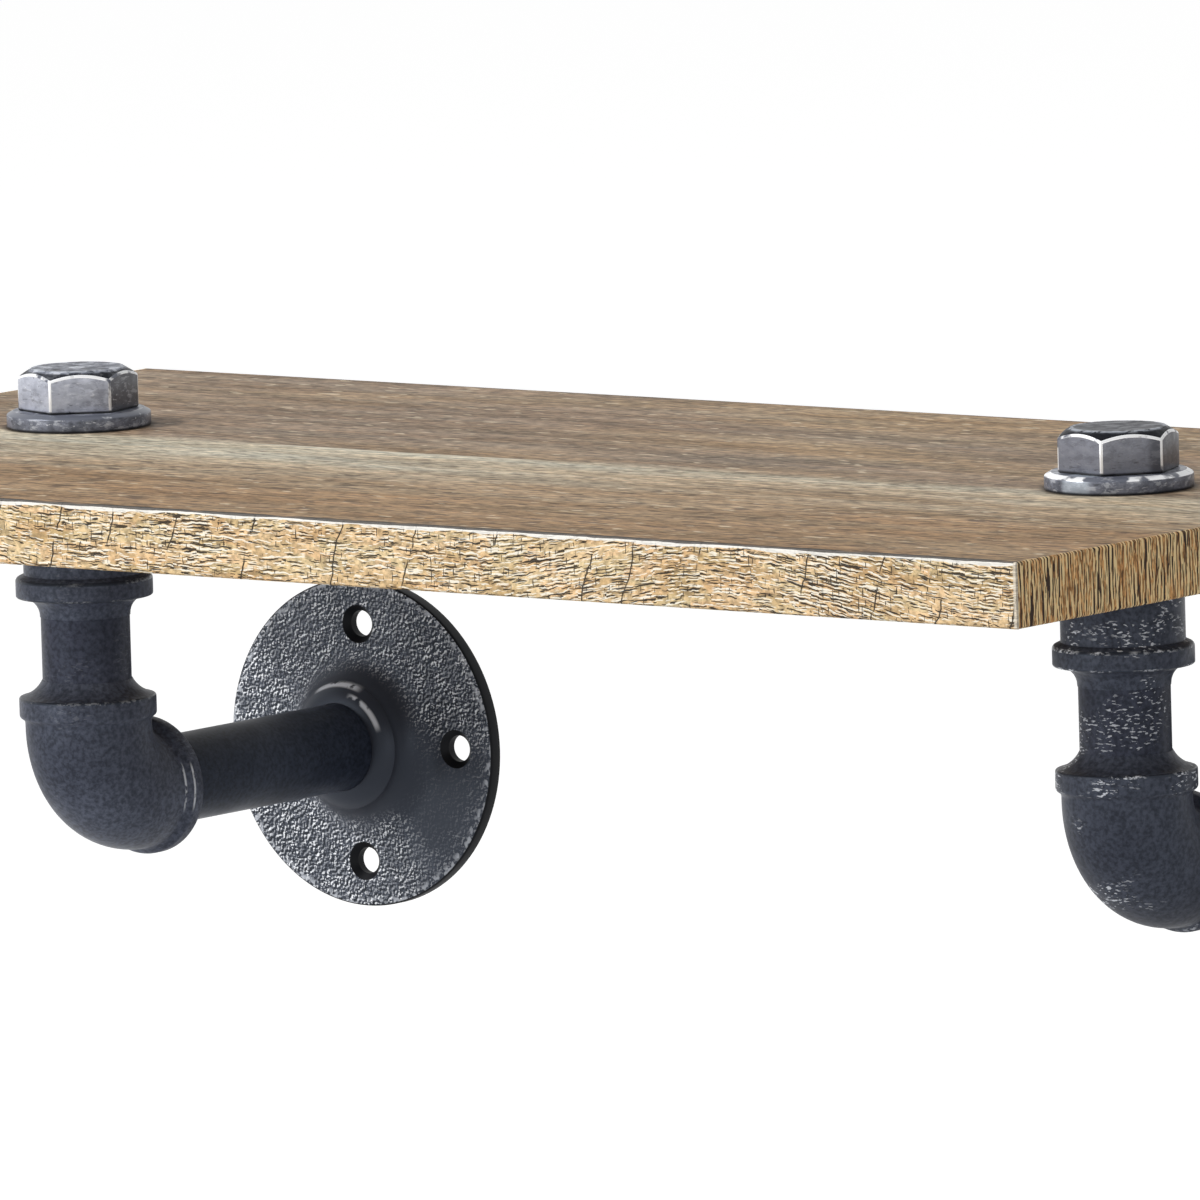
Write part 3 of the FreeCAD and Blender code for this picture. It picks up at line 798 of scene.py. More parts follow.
# %% [markdown]
# One function makes the lacquer of the pipe, of the short upright pipe and of the castings: they differ in
# colour, in the depth of their grain and in how much they are rubbed and carry painted glints. All are
# darker on the right bracket, as painted shade. Edges that are rubbed through get a plainer finish with
# bright scratches, partly painted glints.

# %% Lacquered pipe and castings
RUBBED_AND_GLINT_WHITE = paint(222, 226, 234)
COOL_SHEEN = (0.7, 0.82, 1.0, 1)
CLOUDS = (45, 45, 45)
GRAIN = (900, 900, 900)
LUMPS = (170, 170, 170)
LUMP_SHARE = 4.0
GLINTS = (650, 650, 1900)
GLINT_LEVELS = (0.585, 0.63)
CLUSTERS = (75, 75, 75)
CLUSTER_LEVELS = (0.56, 0.66)
LEFT_SHARE = 0.1
EDGE_CLOUDS = (110, 110, 110)
EDGE_CLOUD_LEVELS = (0.44, 0.6)
EDGE_SCRATCHES = (900, 900, 1400)
EDGE_SCRATCH_LEVELS = (0.46, 0.6)
EDGE_SLATE = paint(50, 54, 64)


def lacquered_iron(name, dark, light, grain_depth, rubbed, scratches_and_highlights=False):
    """Slate-black lacquer over a grain of a given depth, rubbed through here and there, with painted glints
    and painted shade on the right bracket.
    """
    iron = Finish(name, gloss=0.12, tint=COOL_SHEEN)
    cloud = iron.noise(CLOUDS, detail=4)
    grain = iron.noise(GRAIN, detail=3, roughness=0.6)
    tone = iron.mix(iron.ease(cloud, *NARROW), dark, light)
    tone = iron.shade(tone, iron.ease(grain, *WIDE, floor=0.6, ceiling=1.4))
    # Painted shade: this lacquer is darker on the right bracket, which the right fill lights more.
    tone = iron.shade(tone, iron.ease(iron.along, *RIGHTWARDS, floor=1.0, ceiling=0.66))
    # Painted glints: bright specks in clusters, over spots where the lacquer is rubbed.
    glints = iron.ease(iron.noise(GLINTS, detail=2, shift=(3, 5, 7)), *GLINT_LEVELS)
    crowd = iron.plus(iron.noise(CLUSTERS, detail=2, shift=(8, 1, 4)), glint_and_rub_places(iron))
    glint_and_rub_share = iron.ease(iron.along, *RIGHTWARDS, floor=rubbed * LEFT_SHARE, ceiling=rubbed)
    lights = iron.times(glints, iron.ease(crowd, *CLUSTER_LEVELS), glint_and_rub_share)
    if scratches_and_highlights:
        lights = iron.most(lights, painted_rim_highlights(iron))
    iron.feed("Base Color", iron.mix(lights, tone, RUBBED_AND_GLINT_WHITE))
    iron.feed("Roughness", iron.ease(cloud, *WIDE, floor=0.46, ceiling=0.34))
    lumps = iron.noise(LUMPS, detail=1, shift=(1, 1, 1))
    iron.bump(iron.plus(grain, iron.times(lumps, LUMP_SHARE)), grain_depth)
    return iron.material


def rubbed_and_glinting_lacquer():
    """The same lacquer on an edge, with bright scratches where it is rubbed through, partly painted glints.
    """
    edge = Finish("rubbed_and_glinting_lacquer", gloss=0.25, tint=COOL_SHEEN, roughness=0.34)
    cloud = edge.noise(EDGE_CLOUDS, detail=3)
    scratch = edge.noise(EDGE_SCRATCHES, detail=3, roughness=0.65, shift=(2, 4, 6))
    glint_and_rub_share = edge.ease(edge.along, *RIGHTWARDS, floor=0.3, ceiling=1.0)
    scratches_and_highlights = edge.ease(scratch, *EDGE_SCRATCH_LEVELS)
    worn_and_lit = edge.times(scratches_and_highlights, edge.ease(cloud, *EDGE_CLOUD_LEVELS), glint_and_rub_share)
    edge.feed("Base Color", edge.mix(worn_and_lit, EDGE_SLATE, RUBBED_AND_GLINT_WHITE))
    edge.bump(scratch, depth=0.00008)
    return edge.material


pipe_finish = lacquered_iron("lacquered_pipe", paint(39, 44, 56), paint(51, 57, 71),
                             grain_depth=0.00001, rubbed=0.15)
riser_finish = lacquered_iron("lacquered_nipple", paint(56, 59, 71), paint(69, 72, 86),
                              grain_depth=0.00002, rubbed=0.7)
cast_finish = lacquered_iron("lacquered_casting", paint(72, 76, 89), paint(87, 92, 106),
                             grain_depth=0.00006, rubbed=0.95, scratches_and_highlights=True)
rubbed_and_glint_finish = rubbed_and_glinting_lacquer()
dress_nodes(pipe_finish, "left_arm_pipe", "right_arm_pipe")
dress_nodes(riser_finish, "left_riser_nipple", "right_riser_nipple")

# %% [markdown]
# ## Sand-cast lacquer of the flange
# The flange is cast in coarse sand, so its plate is covered with grains of about a millimetre. Their crests
# get painted glints on the flank that faces the lamps and their pits painted shade on the other: the relief
# of a noise gives both, as it gave the cracks. Towards the hub the grain dies away, and in a sector beside
# the hub it gives way to smooth lacquer of painted shadow. The hub's shoulder is rubbed bright, partly as a
# painted highlight, and glints along the plate's edge are painted too. The distance and the heading from
# the pipe's axis say where.

# %% Sand-cast lacquer
SAND = (1300, 1300, 1300)
SAND_FLANK = Vector((0.2, 0, -0.2))
SAND_TEXTURE = {"detail": 2, "roughness": 0.6}
SAND_START = (0.0168, 0.0235)
SHADOW_SIDE = 207
SHADOW_SPREAD = (0.76, 0.96)
SHADOW_RUN = (0.03, 0.039)
PIT_LEVELS = (-0.02, -0.08)
CREST_LEVELS = (0.06, 0.11)
CAST_CLOUDS = (60, 60, 60)
PIT_STRENGTH = 0.92
GRAIN_BLEND = (0.0, 0.7)
PLATE_SHEEN = (0.2, 0.9)
GLITTER = (300, 300, 300)
GLITTER_LEVELS = (0.4, 0.6)
EDGE_GLINTS = (600, 600, 600)
EDGE_GLINT_LEVELS = (0.5, 0.6)
EDGE_RUN = (0.0374, 0.039)
SHOULDER_WEAR_AND_HIGHLIGHT = (0.0151, 85)
CROWN_WEAR_AND_HIGHLIGHT = (0.0131, 132)
WEAR_AND_HIGHLIGHT_WIDTH = (0.0002, 0.0008)
WEAR_AND_HIGHLIGHT_SPREAD = (0.86, 0.95)
WEAR_AND_HIGHLIGHT_PATCHES = (330, 330, 330)
WEAR_AND_HIGHLIGHT_LEVELS = (0.4, 0.52)
HUB_START = (-0.006, -0.004)
CAST_SLATE = paint(64, 68, 78)
CAST_GREY = paint(88, 92, 102)
SMOOTH_AND_SHADOW_SLATE = paint(52, 55, 64)
PIT_SHADE_BLACK = paint(12, 13, 16)
CREST_HIGHLIGHT_WHITE = paint(248, 250, 254)
EDGE_GLINT = paint(206, 210, 218)
WORN_AND_HIGHLIGHT_GREY = paint(214, 217, 224)


def facing(finish, way, degrees):
    """How well a way heads for an angle: one where it does, less beside it."""
    heading = finish.add("VectorMath", {0: way}, operation="NORMALIZE").outputs["Vector"]
    spot = (math.cos(math.radians(degrees)), math.sin(math.radians(degrees)), 0)
    return finish.add("VectorMath", {0: heading, 1: spot}, operation="DOT_PRODUCT").outputs["Value"]


def hub_wear_and_highlight(cast, way, from_axis):
    """Where the hub's shoulder and the front of its crown are rubbed bright, partly a painted highlight."""
    worn_and_lit = 0.0
    for radius, degrees in (SHOULDER_WEAR_AND_HIGHLIGHT, CROWN_WEAR_AND_HIGHLIGHT):
        ring = cast.near(from_axis, radius, *WEAR_AND_HIGHLIGHT_WIDTH)
        stretch = cast.ease(facing(cast, way, degrees), *WEAR_AND_HIGHLIGHT_SPREAD)
        worn_and_lit = cast.most(worn_and_lit, cast.times(ring, stretch))
    rubs = cast.ease(cast.noise(WEAR_AND_HIGHLIGHT_PATCHES, detail=4, shift=(2, 3, 1)), *WEAR_AND_HIGHLIGHT_LEVELS)
    return cast.times(worn_and_lit, rubs, cast.ease(cast.out, *HUB_START, floor=1.0, ceiling=0.0))


def sand_cast_lacquer():
    """Grain on the plate with painted glints and shade, smooth on the hub and in a sector of painted
    shadow, with a rubbed and highlit shoulder.
    """
    cast = Finish("sand_cast_lacquer", gloss=0.3, tint=COOL_SHEEN)
    way = spoke(cast, past_axis(cast), cast.up)
    from_axis = length(cast, way)
    plate = cast.ease(from_axis, *SAND_START)
    # Painted shadow of the hub and pipe: in a sector beside the hub the grain gives way to smooth, darker
    # lacquer.
    shadow_side = cast.ease(facing(cast, way, SHADOW_SIDE), *SHADOW_SPREAD)
    painted_shadow_sector = cast.times(shadow_side, cast.ease(from_axis, *SHADOW_RUN, floor=0.95, ceiling=0.75))
    grainy = cast.times(plate, cast.minus(1.0, painted_shadow_sector))
    slope = relief(cast, SAND, SAND_FLANK, **SAND_TEXTURE)
    cloud = cast.noise(CAST_CLOUDS, detail=3)
    tone = cast.mix(cast.ease(cloud, *NARROW), CAST_SLATE, CAST_GREY)
    tone = cast.mix(cast.ease(grainy, *GRAIN_BLEND), SMOOTH_AND_SHADOW_SLATE, tone)
    # Painted light on the grain: shade on the flanks away from the lamps, glints on the crests facing them.
    pit_shade = cast.times(cast.ease(slope, *PIT_LEVELS), grainy)
    tone = cast.mix(cast.times(pit_shade, PIT_STRENGTH), tone, PIT_SHADE_BLACK)
    glitter = cast.ease(cast.noise(GLITTER, detail=2, shift=(4, 4, 2)), *GLITTER_LEVELS, floor=0.3)
    crest_highlights = cast.times(cast.ease(slope, *CREST_LEVELS), glitter, grainy)
    tone = cast.mix(crest_highlights, tone, CREST_HIGHLIGHT_WHITE)
    edge_glints = cast.ease(cast.noise(EDGE_GLINTS, detail=1, shift=(9, 4, 2)), *EDGE_GLINT_LEVELS)
    at_edge = cast.times(edge_glints, cast.ease(from_axis, *EDGE_RUN, floor=0.0, ceiling=0.7))
    tone = cast.mix(at_edge, tone, EDGE_GLINT)
    cast.feed("Base Color", cast.mix(hub_wear_and_highlight(cast, way, from_axis), tone, WORN_AND_HIGHLIGHT_GREY))
    cast.feed("Roughness", cast.ease(plate, *PLATE_SHEEN, floor=0.42, ceiling=0.3))
    grain_height = cast.noise(SAND, shift=-SAND_FLANK, **SAND_TEXTURE)
    cast.bump(cast.times(grain_height, grainy), depth=0.0004)
    return cast.material


flange_finish = sand_cast_lacquer()
print("made", flange_finish.name)

# %% [markdown]
# The rim of the plate and the walls of its holes lie in shade, so they are painted smooth and near black,
# as painted shade. That is a plain finish of its own, which a few faces get later.

# %% Black rim of painted shade
RIM_CLOUDS = (300, 300, 300)
RIM_SHADE_BLACK = paint(10, 11, 14)
RIM_SHADE_SLATE = paint(24, 26, 31)


def painted_shade_rim():
    """Smooth lacquer painted near black, as painted shade."""
    rim = Finish("painted_shade_rim", gloss=0.12, roughness=0.5)
    cloud = rim.noise(RIM_CLOUDS, detail=3)
    rim.feed("Base Color", rim.mix(cloud, RIM_SHADE_BLACK, RIM_SHADE_SLATE))
    rim.bump(cloud, depth=0.00005)
    return rim.material


shaded_rim_finish = painted_shade_rim()
print("made", shaded_rim_finish.name)

# %% [markdown]
# ## Bare grey steel
# Plug and washer are plain steel gone grey, with fine scratches from tools. One function makes the plug's
# sides, its scuffed and darker top, and the washer. They differ in colour, in how strong their patches are
# and in painted light that only the right bracket has: painted shade on the plug's sides and top, and a
# painted highlight on the washer's front. Each also gets a painted contact shadow at its foot, and the
# plug's rear right face painted shade. The plug's turned crown also has painted reflections: a light band
# and, beyond it, a dark ring, which follow the distance from the plug's axis.

# %% Grey steel
STEEL_CLOUDS = (300, 300, 300)
STEEL_SCRATCHES = (420, 420, 1500)
LIGHT_SCRATCH_LEVELS = (0.6, 0.72)
DARK_SCRATCH_LEVELS = (0.4, 0.3)
SCRATCH_STRENGTH = 0.6
STEEL_PATCHES = (230, 230, 500)
LIGHT_PATCH_LEVELS = (0.53, 0.63)
DARK_PATCH_LEVELS = (0.47, 0.37)
SHADY_SIDE = (0.009, 0.0105)
SHADY_START = (-0.0055, -0.004)
MARK_BLUR = 0.001
FOOT_SHADOW_RISE = (0.0003, 0.0008)
CROWN_BAND = 0.0108
CROWN_BAND_WIDTH = (0.0003, 0.0009)
CROWN_BAND_LEVELS = (0.4, 0.55)
CROWN_RING = (0.0115, 0.0121)
SHADY_SLATE = paint(44, 46, 54)
PATCH_LIGHT = paint(214, 218, 226)
PATCH_DARK = paint(26, 28, 34)
SCRATCH_LIGHT = paint(222, 224, 230)
SCRATCH_DARK = paint(36, 38, 44)
CONTACT_SHADOW_BLACK = paint(16, 17, 20)
REFLECTED_BAND_LIGHT = paint(196, 202, 212)
REFLECTED_RING_DARK = paint(20, 22, 27)


def crown_reflections(steel, tone, scratch, aside, ahead):
    """Painted reflections: a light band and a dark ring round a plug's axis."""
    from_axis = length(steel, spoke(steel, aside, ahead))
    band = steel.near(from_axis, CROWN_BAND, *CROWN_BAND_WIDTH, amount=0.6)
    band = steel.times(band, steel.ease(scratch, *CROWN_BAND_LEVELS))
    tone = steel.mix(band, tone, REFLECTED_BAND_LIGHT)
    return steel.mix(steel.ease(from_axis, *CROWN_RING, floor=0.0, ceiling=0.85), tone, REFLECTED_RING_DARK)


def grey_steel(name, dark, light, contrast, shady, foot, right_mark, gloss, crowned=False):
    """Steel with scratches that run every way, patches as strong as the contrast, painted shade on a plug's
    rear right face, painted light on the right bracket and a painted contact shadow at its foot.
    """
    steel = Finish(name, metal=0.1, gloss=gloss)
    cloud = steel.noise(STEEL_CLOUDS, detail=4, roughness=0.6)
    scratch = steel.noise(STEEL_SCRATCHES, detail=3, roughness=0.6, distortion=0.8)
    tone = steel.mix(steel.ease(cloud, *MEDIUM), dark, light)
    side = steel.calc("SIGN", steel.along)
    aside = steel.minus(steel.along, steel.times(side, HALF_SPACING))
    ahead = steel.plus(steel.out, BRACKET_REACH * MM)
    # Painted shade: the plug's rear right face is darkened.
    shaded = steel.ease(aside, *SHADY_SIDE, ceiling=shady)
    tone = steel.mix(steel.times(shaded, steel.ease(ahead, *SHADY_START)), tone, SHADY_SLATE)
    patch = steel.noise(STEEL_PATCHES, detail=4, roughness=0.65, shift=(6, 2, 3))
    tone = steel.mix(steel.ease(patch, *LIGHT_PATCH_LEVELS, ceiling=contrast), tone, PATCH_LIGHT)
    tone = steel.mix(steel.ease(patch, *DARK_PATCH_LEVELS, ceiling=contrast), tone, PATCH_DARK)
    light_lines = steel.ease(scratch, *LIGHT_SCRATCH_LEVELS, ceiling=SCRATCH_STRENGTH)
    tone = steel.mix(light_lines, tone, SCRATCH_LIGHT)
    dark_lines = steel.ease(scratch, *DARK_SCRATCH_LEVELS, ceiling=SCRATCH_STRENGTH)
    tone = steel.mix(dark_lines, tone, SCRATCH_DARK)
    # Painted light on the right bracket only: shade on the plug's sides and top, a highlight on the washer.
    amount, colour, reach = right_mark
    painted_light = steel.near(aside, 0.0, reach - MARK_BLUR, reach + MARK_BLUR, amount)
    tone = steel.mix(steel.times(painted_light, steel.most(side, 0.0)), tone, colour)
    # Painted contact shadow: darker at the very foot, where the piece sits.
    low, high = [foot + rise for rise in FOOT_SHADOW_RISE]
    tone = steel.mix(steel.ease(steel.up, low, high, floor=0.9, ceiling=0.0), tone, CONTACT_SHADOW_BLACK)
    if crowned:
        tone = crown_reflections(steel, tone, scratch, aside, ahead)
    steel.feed("Base Color", tone)
    steel.feed("Roughness", steel.ease(cloud, *WIDE, floor=0.46, ceiling=0.3))
    steel.bump(scratch, depth=0.00005)
    return steel.material


WASHER_SEAT = BOARD_TOP
PLUG_SEAT = 0.0928
# Painted light for the right bracket: shade on the plug's sides and top, a highlight on the washer's front.
SHADED_RIGHT_SIDES = (0.68, paint(70, 72, 82), 0.02)
SHADED_TOP = (0.82, paint(18, 20, 25), 0.02)
LIT_FRONT = (0.6, paint(176, 186, 198), 0.0037)
steel_finish = grey_steel("grey_steel", paint(160, 164, 178), paint(184, 188, 202), contrast=0.3,
                          shady=0.85, foot=PLUG_SEAT, right_mark=SHADED_RIGHT_SIDES, gloss=0.5)
top_finish = grey_steel("scuffed_and_reflecting_steel_top", paint(78, 82, 92), paint(140, 144, 156), contrast=0.75,
                        shady=0, foot=PLUG_SEAT, right_mark=SHADED_TOP, gloss=0.05, crowned=True)
washer_finish = grey_steel("grey_steel_washer", paint(76, 80, 92), paint(116, 120, 134), contrast=0.4,
                           shady=0, foot=WASHER_SEAT, right_mark=LIT_FRONT, gloss=0.5)
print("made", steel_finish.name, top_finish.name, "and", washer_finish.name)

# %% [markdown]
# Where an edge was rubbed the steel is bright, and where an edge or slope faces the lamps it gets a
# painted highlight, so the plug's bevelled edges and the washer's slope get a finish of their own. The
# bevel writes its faces to the second slot, so no edge has to be picked by hand.

# %% Worn and highlit edges of the steel
EDGE_BREAKS = (190, 190, 190)
BREAK_LEVELS = (0.46, 0.56)
WEAR_TURN = (-0.1, 0.1)
EDGE_FOOT_SHADOW_RISE = (0.0004, 0.0009)
DULL_EDGE = paint(92, 96, 108)
WORN_AND_HIGHLIT_STEEL = paint(244, 245, 247)


def worn_and_highlit_steel(name, left_wear, right_wear, foot):
    """Edges rubbed bright and painted with highlights, more on one bracket than on the other, broken by
    grey stretches.
    """
    edge = Finish(name, metal=0.3, roughness=0.32)
    breaks = edge.noise(EDGE_BREAKS, detail=3, shift=(1, 7, 3))
    wear = edge.ease(edge.along, *WEAR_TURN, left_wear, right_wear)
    tone = edge.mix(edge.ease(edge.plus(breaks, wear), *BREAK_LEVELS), DULL_EDGE, WORN_AND_HIGHLIT_STEEL)
    # Painted contact shadow at the foot of the edge.
    low, high = [foot + rise for rise in EDGE_FOOT_SHADOW_RISE]
    painted_contact_shadow = edge.ease(edge.up, low, high, floor=0.95, ceiling=0.0)
    edge.feed("Base Color", edge.mix(painted_contact_shadow, tone, CONTACT_SHADOW_BLACK))
    edge.bump(breaks, depth=0.00008)
    return edge.material


worn_and_highlit_finish = worn_and_highlit_steel("worn_and_highlit_plug_edge", left_wear=0.06, right_wear=0.1, foot=PLUG_SEAT)
highlit_and_worn_slope_finish = worn_and_highlit_steel("highlit_and_worn_washer_slope", left_wear=-0.2, right_wear=0.04, foot=WASHER_SEAT)
print("made", worn_and_highlit_finish.name, "and", highlit_and_worn_slope_finish.name)

# %% [markdown]
# ## The wall flange
# A floor flange is a round plate with a threaded hub in its middle. The hub runs into the plate in a wide
# hollow, which the pattern maker adds so that the iron fills the mould. The half section is drawn with the
# plate's back at height zero. The hollow and the rounded hub are arcs, worked out by one small function.

# %% Section of the flange
def arc(start, end, radius, hollow, steps=8):
    """Points after start, up to end, on a short arc: right of the way, or left of it for a hollow."""
    first, last = Vector(start), Vector(end)
    chord = last - first
    normal = Vector((-chord.y, chord.x)).normalized()
    rise = math.sqrt(radius ** 2 - (chord.length / 2) ** 2)
    center = first + chord / 2 + normal * (-rise if hollow else rise)
    sweep = 2 * math.asin(chord.length / 2 / radius) * (-1 if hollow else 1)
    points = []
    for step in range(1, steps + 1):
        turned = Matrix.Rotation(sweep * step / steps, 2) @ (first - center)
        points.append(tuple(center + turned))
    return points


SOCKET = 10.75
STOP = 9.35
LIP = 10.8
PLATE = 3.6
RIM = 40
FRONT_RIM_ROUND = 0.6
BACK_RIM_ROUND = 0.3
HUB = 15.5
ROOT_FOOT = (24, PLATE)
ROOT_TOP = (HUB, 9.9)
ROOT_RADIUS = 8.9
HUB_SHOULDER = (HUB, 10.2)
HUB_MOUTH = (LIP, 13.2)
HUB_CROWN_RADIUS = 7
PIPE_STOP = 2

flange_corners = [(STOP, 0), (RIM, 0), (RIM, PLATE), ROOT_FOOT]
flange_corners += arc(ROOT_FOOT, ROOT_TOP, ROOT_RADIUS, hollow=True)
flange_corners += [HUB_SHOULDER]
flange_corners += arc(HUB_SHOULDER, HUB_MOUTH, HUB_CROWN_RADIUS, hollow=False)
flange_corners += [(SOCKET, HUB_MOUTH[1]), (SOCKET, PIPE_STOP), (STOP, PIPE_STOP)]
left_flange = draw_section("left_wall_flange_casting", flange_corners)
round_corners(left_flange, [(RIM, PLATE)], FRONT_RIM_ROUND)
round_corners(left_flange, [(RIM, 0)], BACK_RIM_ROUND)
spin_round()
dress(left_flange, flange_finish, shaded_rim_finish)
print(left_flange.name, len(left_flange.data.polygons), "faces before its holes")

# %% [markdown]
# The four screw holes are drilled and countersunk. A drill is itself a turned form, so its section is
# spun too, and the flange is cut with it four times. A boolean keeps the rim of each hole truly round.

# %% Drill the flange
HOLE_RADIUS = 3.2
COUNTERSINK_RADIUS = 4.7
HOLE_CIRCLE = 29
HOLE_COUNT = 4
DRILL_ROOM = 1
DRILL_SPIN = 48

sink_depth = COUNTERSINK_RADIUS - HOLE_RADIUS
drill_corners = (
    (0, -DRILL_ROOM),
    (HOLE_RADIUS, -DRILL_ROOM),
    (HOLE_RADIUS, PLATE - sink_depth),
    (COUNTERSINK_RADIUS + DRILL_ROOM, PLATE + DRILL_ROOM),
    (0, PLATE + DRILL_ROOM),
)
for hole in range(HOLE_COUNT):
    drill = draw_section("drill", drill_corners)
    spin_round(steps=DRILL_SPIN)
    move_mesh(drill, (HOLE_CIRCLE, 0, 0))
    move_mesh(drill, (0, 0, 0), degrees=360 * hole / HOLE_COUNT)
    combine(left_flange, drill, "DIFFERENCE")
print(left_flange.name, len(left_flange.data.polygons), "faces with its holes")

# %% [markdown]
# The plate's rim and the walls of its holes get the black finish of painted shade.
# Their faces are picked by where their middle lies. The flange is then stood up against the wall and
# copied, because both brackets have the same one.

# %% Finish the flanges
RIM_FACES = RIM - 0.3
HOLE_FACES = COUNTERSINK_RADIUS - 0.2
PLANE_ROOM = 0.1


def is_rim_or_hole(middle):
    """True on the plate's outer side and inside the holes, but not on its front and back."""
    if middle.xy.length > RIM_FACES:
        return True
    if not PLANE_ROOM < middle.z < PLATE - PLANE_ROOM:
        return False
    long_way = max(abs(middle.x), abs(middle.y))
    short_way = min(abs(middle.x), abs(middle.y))
    return math.hypot(long_way - HOLE_CIRCLE, short_way) < HOLE_FACES


finish_faces(left_flange, 1, is_rim_or_hole)
move_mesh(left_flange, (LEFT_AXIS.x, 0, 0), axis="X", degrees=90)
right_flange = copy_to_right(left_flange)
hand_over_pair(left_flange, right_flange, "wall_flange")

# %% [markdown]
# ## The elbow
# The elbow is one tube with a bend in it, so it grows from a single ring: spun through a quarter turn for
# the bend, then pulled out ring by ring along each leg for the band, the mouth, the socket and its
# shoulder. The waterway joins the two shoulders with a bridge. That leaves one closed mesh, hollow as the
# casting is, with no seams to hide.

# %% Bend of the elbow
ELBOW_BODY = 15.1
BEND = 17
BEND_STEPS = 28
RING_POINTS = 96

bpy.ops.object.select_all(action="DESELECT")
bpy.ops.mesh.primitive_circle_add(vertices=RING_POINTS, radius=ELBOW_BODY * MM, fill_type="NOTHING")
left_elbow = bpy.context.object
left_elbow.name = "left_elbow_casting"
bpy.ops.object.mode_set(mode="EDIT")
bpy.ops.transform.translate(value=(0, 0, BEND * MM))
bend_center = Vector((0, BEND, BEND)) * MM
bpy.ops.mesh.spin(steps=BEND_STEPS, angle=FULL_TURN / 4, center=bend_center, axis=(-1, 0, 0))
print("bend has", len(bmesh.from_edit_mesh(left_elbow.data).faces), "faces")

# %% [markdown]
# A leg is a list of stations, each with a radius and a distance from the elbow's corner. One tool pulls
# the open ring from station to station, as extrude and scale would do by hand. Another picks the ring at
# the other end, and a third turns the hard corners of a list into short curves.

# %% Tools for the legs
def pull_ring(direction, stations):
    """Extrude the selected ring from station to station, each one a radius and a distance."""
    radius, distance = stations[0]
    for next_radius, next_distance in stations[1:]:
        step = Vector(direction) * (next_distance - distance) * MM
        bpy.ops.mesh.extrude_region_move(TRANSFORM_OT_translate={"value": step})
        share = next_radius / radius
        center = Vector(direction) * next_distance * MM
        bpy.ops.transform.resize(value=(share, share, share), center_override=center)
        radius, distance = next_radius, next_distance


def select_ring(piece, direction, distance):
    """Select the open ring that lies at a distance along a direction."""
    bpy.ops.mesh.select_all(action="DESELECT")
    mesh = bmesh.from_edit_mesh(piece.data)
    for edge in mesh.edges:
        middle = sum((vertex.co for vertex in edge.verts), Vector()) / 2
        off = abs(middle.dot(Vector(direction)) - distance * MM)
        edge.select_set(edge.is_boundary and off < MERGE_DISTANCE)
    bmesh.update_edit_mesh(piece.data)


def soften(stations, size, steps=4):
    """Replace each inner corner of a run of stations by a short curve."""
    soft = [stations[0]]
    for before, corner, after in zip(stations, stations[1:], stations[2:]):
        here = Vector(corner)
        back = Vector(before) - here
        onward = Vector(after) - here
        start = here + back.normalized() * min(size, back.length / 2)
        end = here + onward.normalized() * min(size, onward.length / 2)
        for step in range(steps + 1):
            share = step / steps
            point = start * (1 - share) ** 2 + here * 2 * share * (1 - share) + end * share ** 2
            soft.append(tuple(point))
    soft.append(stations[-1])
    return soft


print("rings of", RING_POINTS, "points")

# %% [markdown]
# The two legs differ. The level socket swells smoothly from the bend to a wide band with a rounded mouth.
# The upright one steps out to a narrow band, and a hollow lip runs from it up to the short pipe.

# %% Legs of the elbow
TO_WALL = (0, 1, 0)
UP = (0, 0, 1)
THREAD_DEPTH = 13
WATERWAY = 8
BAND = 16.4
BAND_FOOT = 19.3
BAND_TOP = 24
BAND_SOFTNESS = 0.6
BODY_END = 18.4
MOUTH = 28
LIP_HOLLOW_RADIUS = 7.5
LEVEL_BAND = 16.6
LEVEL_BAND_FOOT = 19.5
LEVEL_MOUTH = 23.5
LEVEL_ROUND = 2
SWELL_STEPS = 8


def socket_end(mouth):
    """Stations from the mouth down the socket to its shoulder."""
    floor = mouth - THREAD_DEPTH
    return [(SOCKET, mouth), (SOCKET, floor), (WATERWAY, floor)]


swell = []
for step in range(SWELL_STEPS + 1):
    share = step / SWELL_STEPS
    rise = (1 - math.cos(math.pi * share)) / 2
    swell_radius = ELBOW_BODY + (LEVEL_BAND - ELBOW_BODY) * rise
    swell.append((swell_radius, BEND + (LEVEL_BAND_FOOT - BEND) * share))
rim_start = (LEVEL_BAND, LEVEL_MOUTH - LEVEL_ROUND)
rim_end = (LEVEL_BAND - LEVEL_ROUND, LEVEL_MOUTH)
level_leg = swell + [rim_start] + arc(rim_start, rim_end, LEVEL_ROUND, hollow=False)
lip_hollow = arc((BAND, BAND_TOP), (LIP, MOUTH), LIP_HOLLOW_RADIUS, hollow=True)
band_stations = [
    (ELBOW_BODY, BEND),
    (ELBOW_BODY, BODY_END),
    (BAND, BAND_FOOT),
    (BAND, BAND_TOP),
    lip_hollow[0],
]
upright_leg = soften(band_stations, BAND_SOFTNESS) + lip_hollow[1:]
bpy.ops.mesh.select_mode(type="EDGE")
pull_ring(TO_WALL, level_leg + socket_end(LEVEL_MOUTH))
select_ring(left_elbow, UP, BEND)
pull_ring(UP, upright_leg + socket_end(MOUTH))
print("legs of", len(level_leg), "and", len(upright_leg), "rings")

# %% [markdown]
# Both shoulders are open rings now. Bridging them along a smooth path makes the round waterway and closes
# the mesh. The upper corner of the upright band is where hands and spanners rub, so it gets the rubbed
# lacquer with its painted glints.

# %% Waterway and finish of the elbow
WATERWAY_CUTS = 20
EDGE_HEIGHT = 0.5
EDGE_DEPTH = 0.6

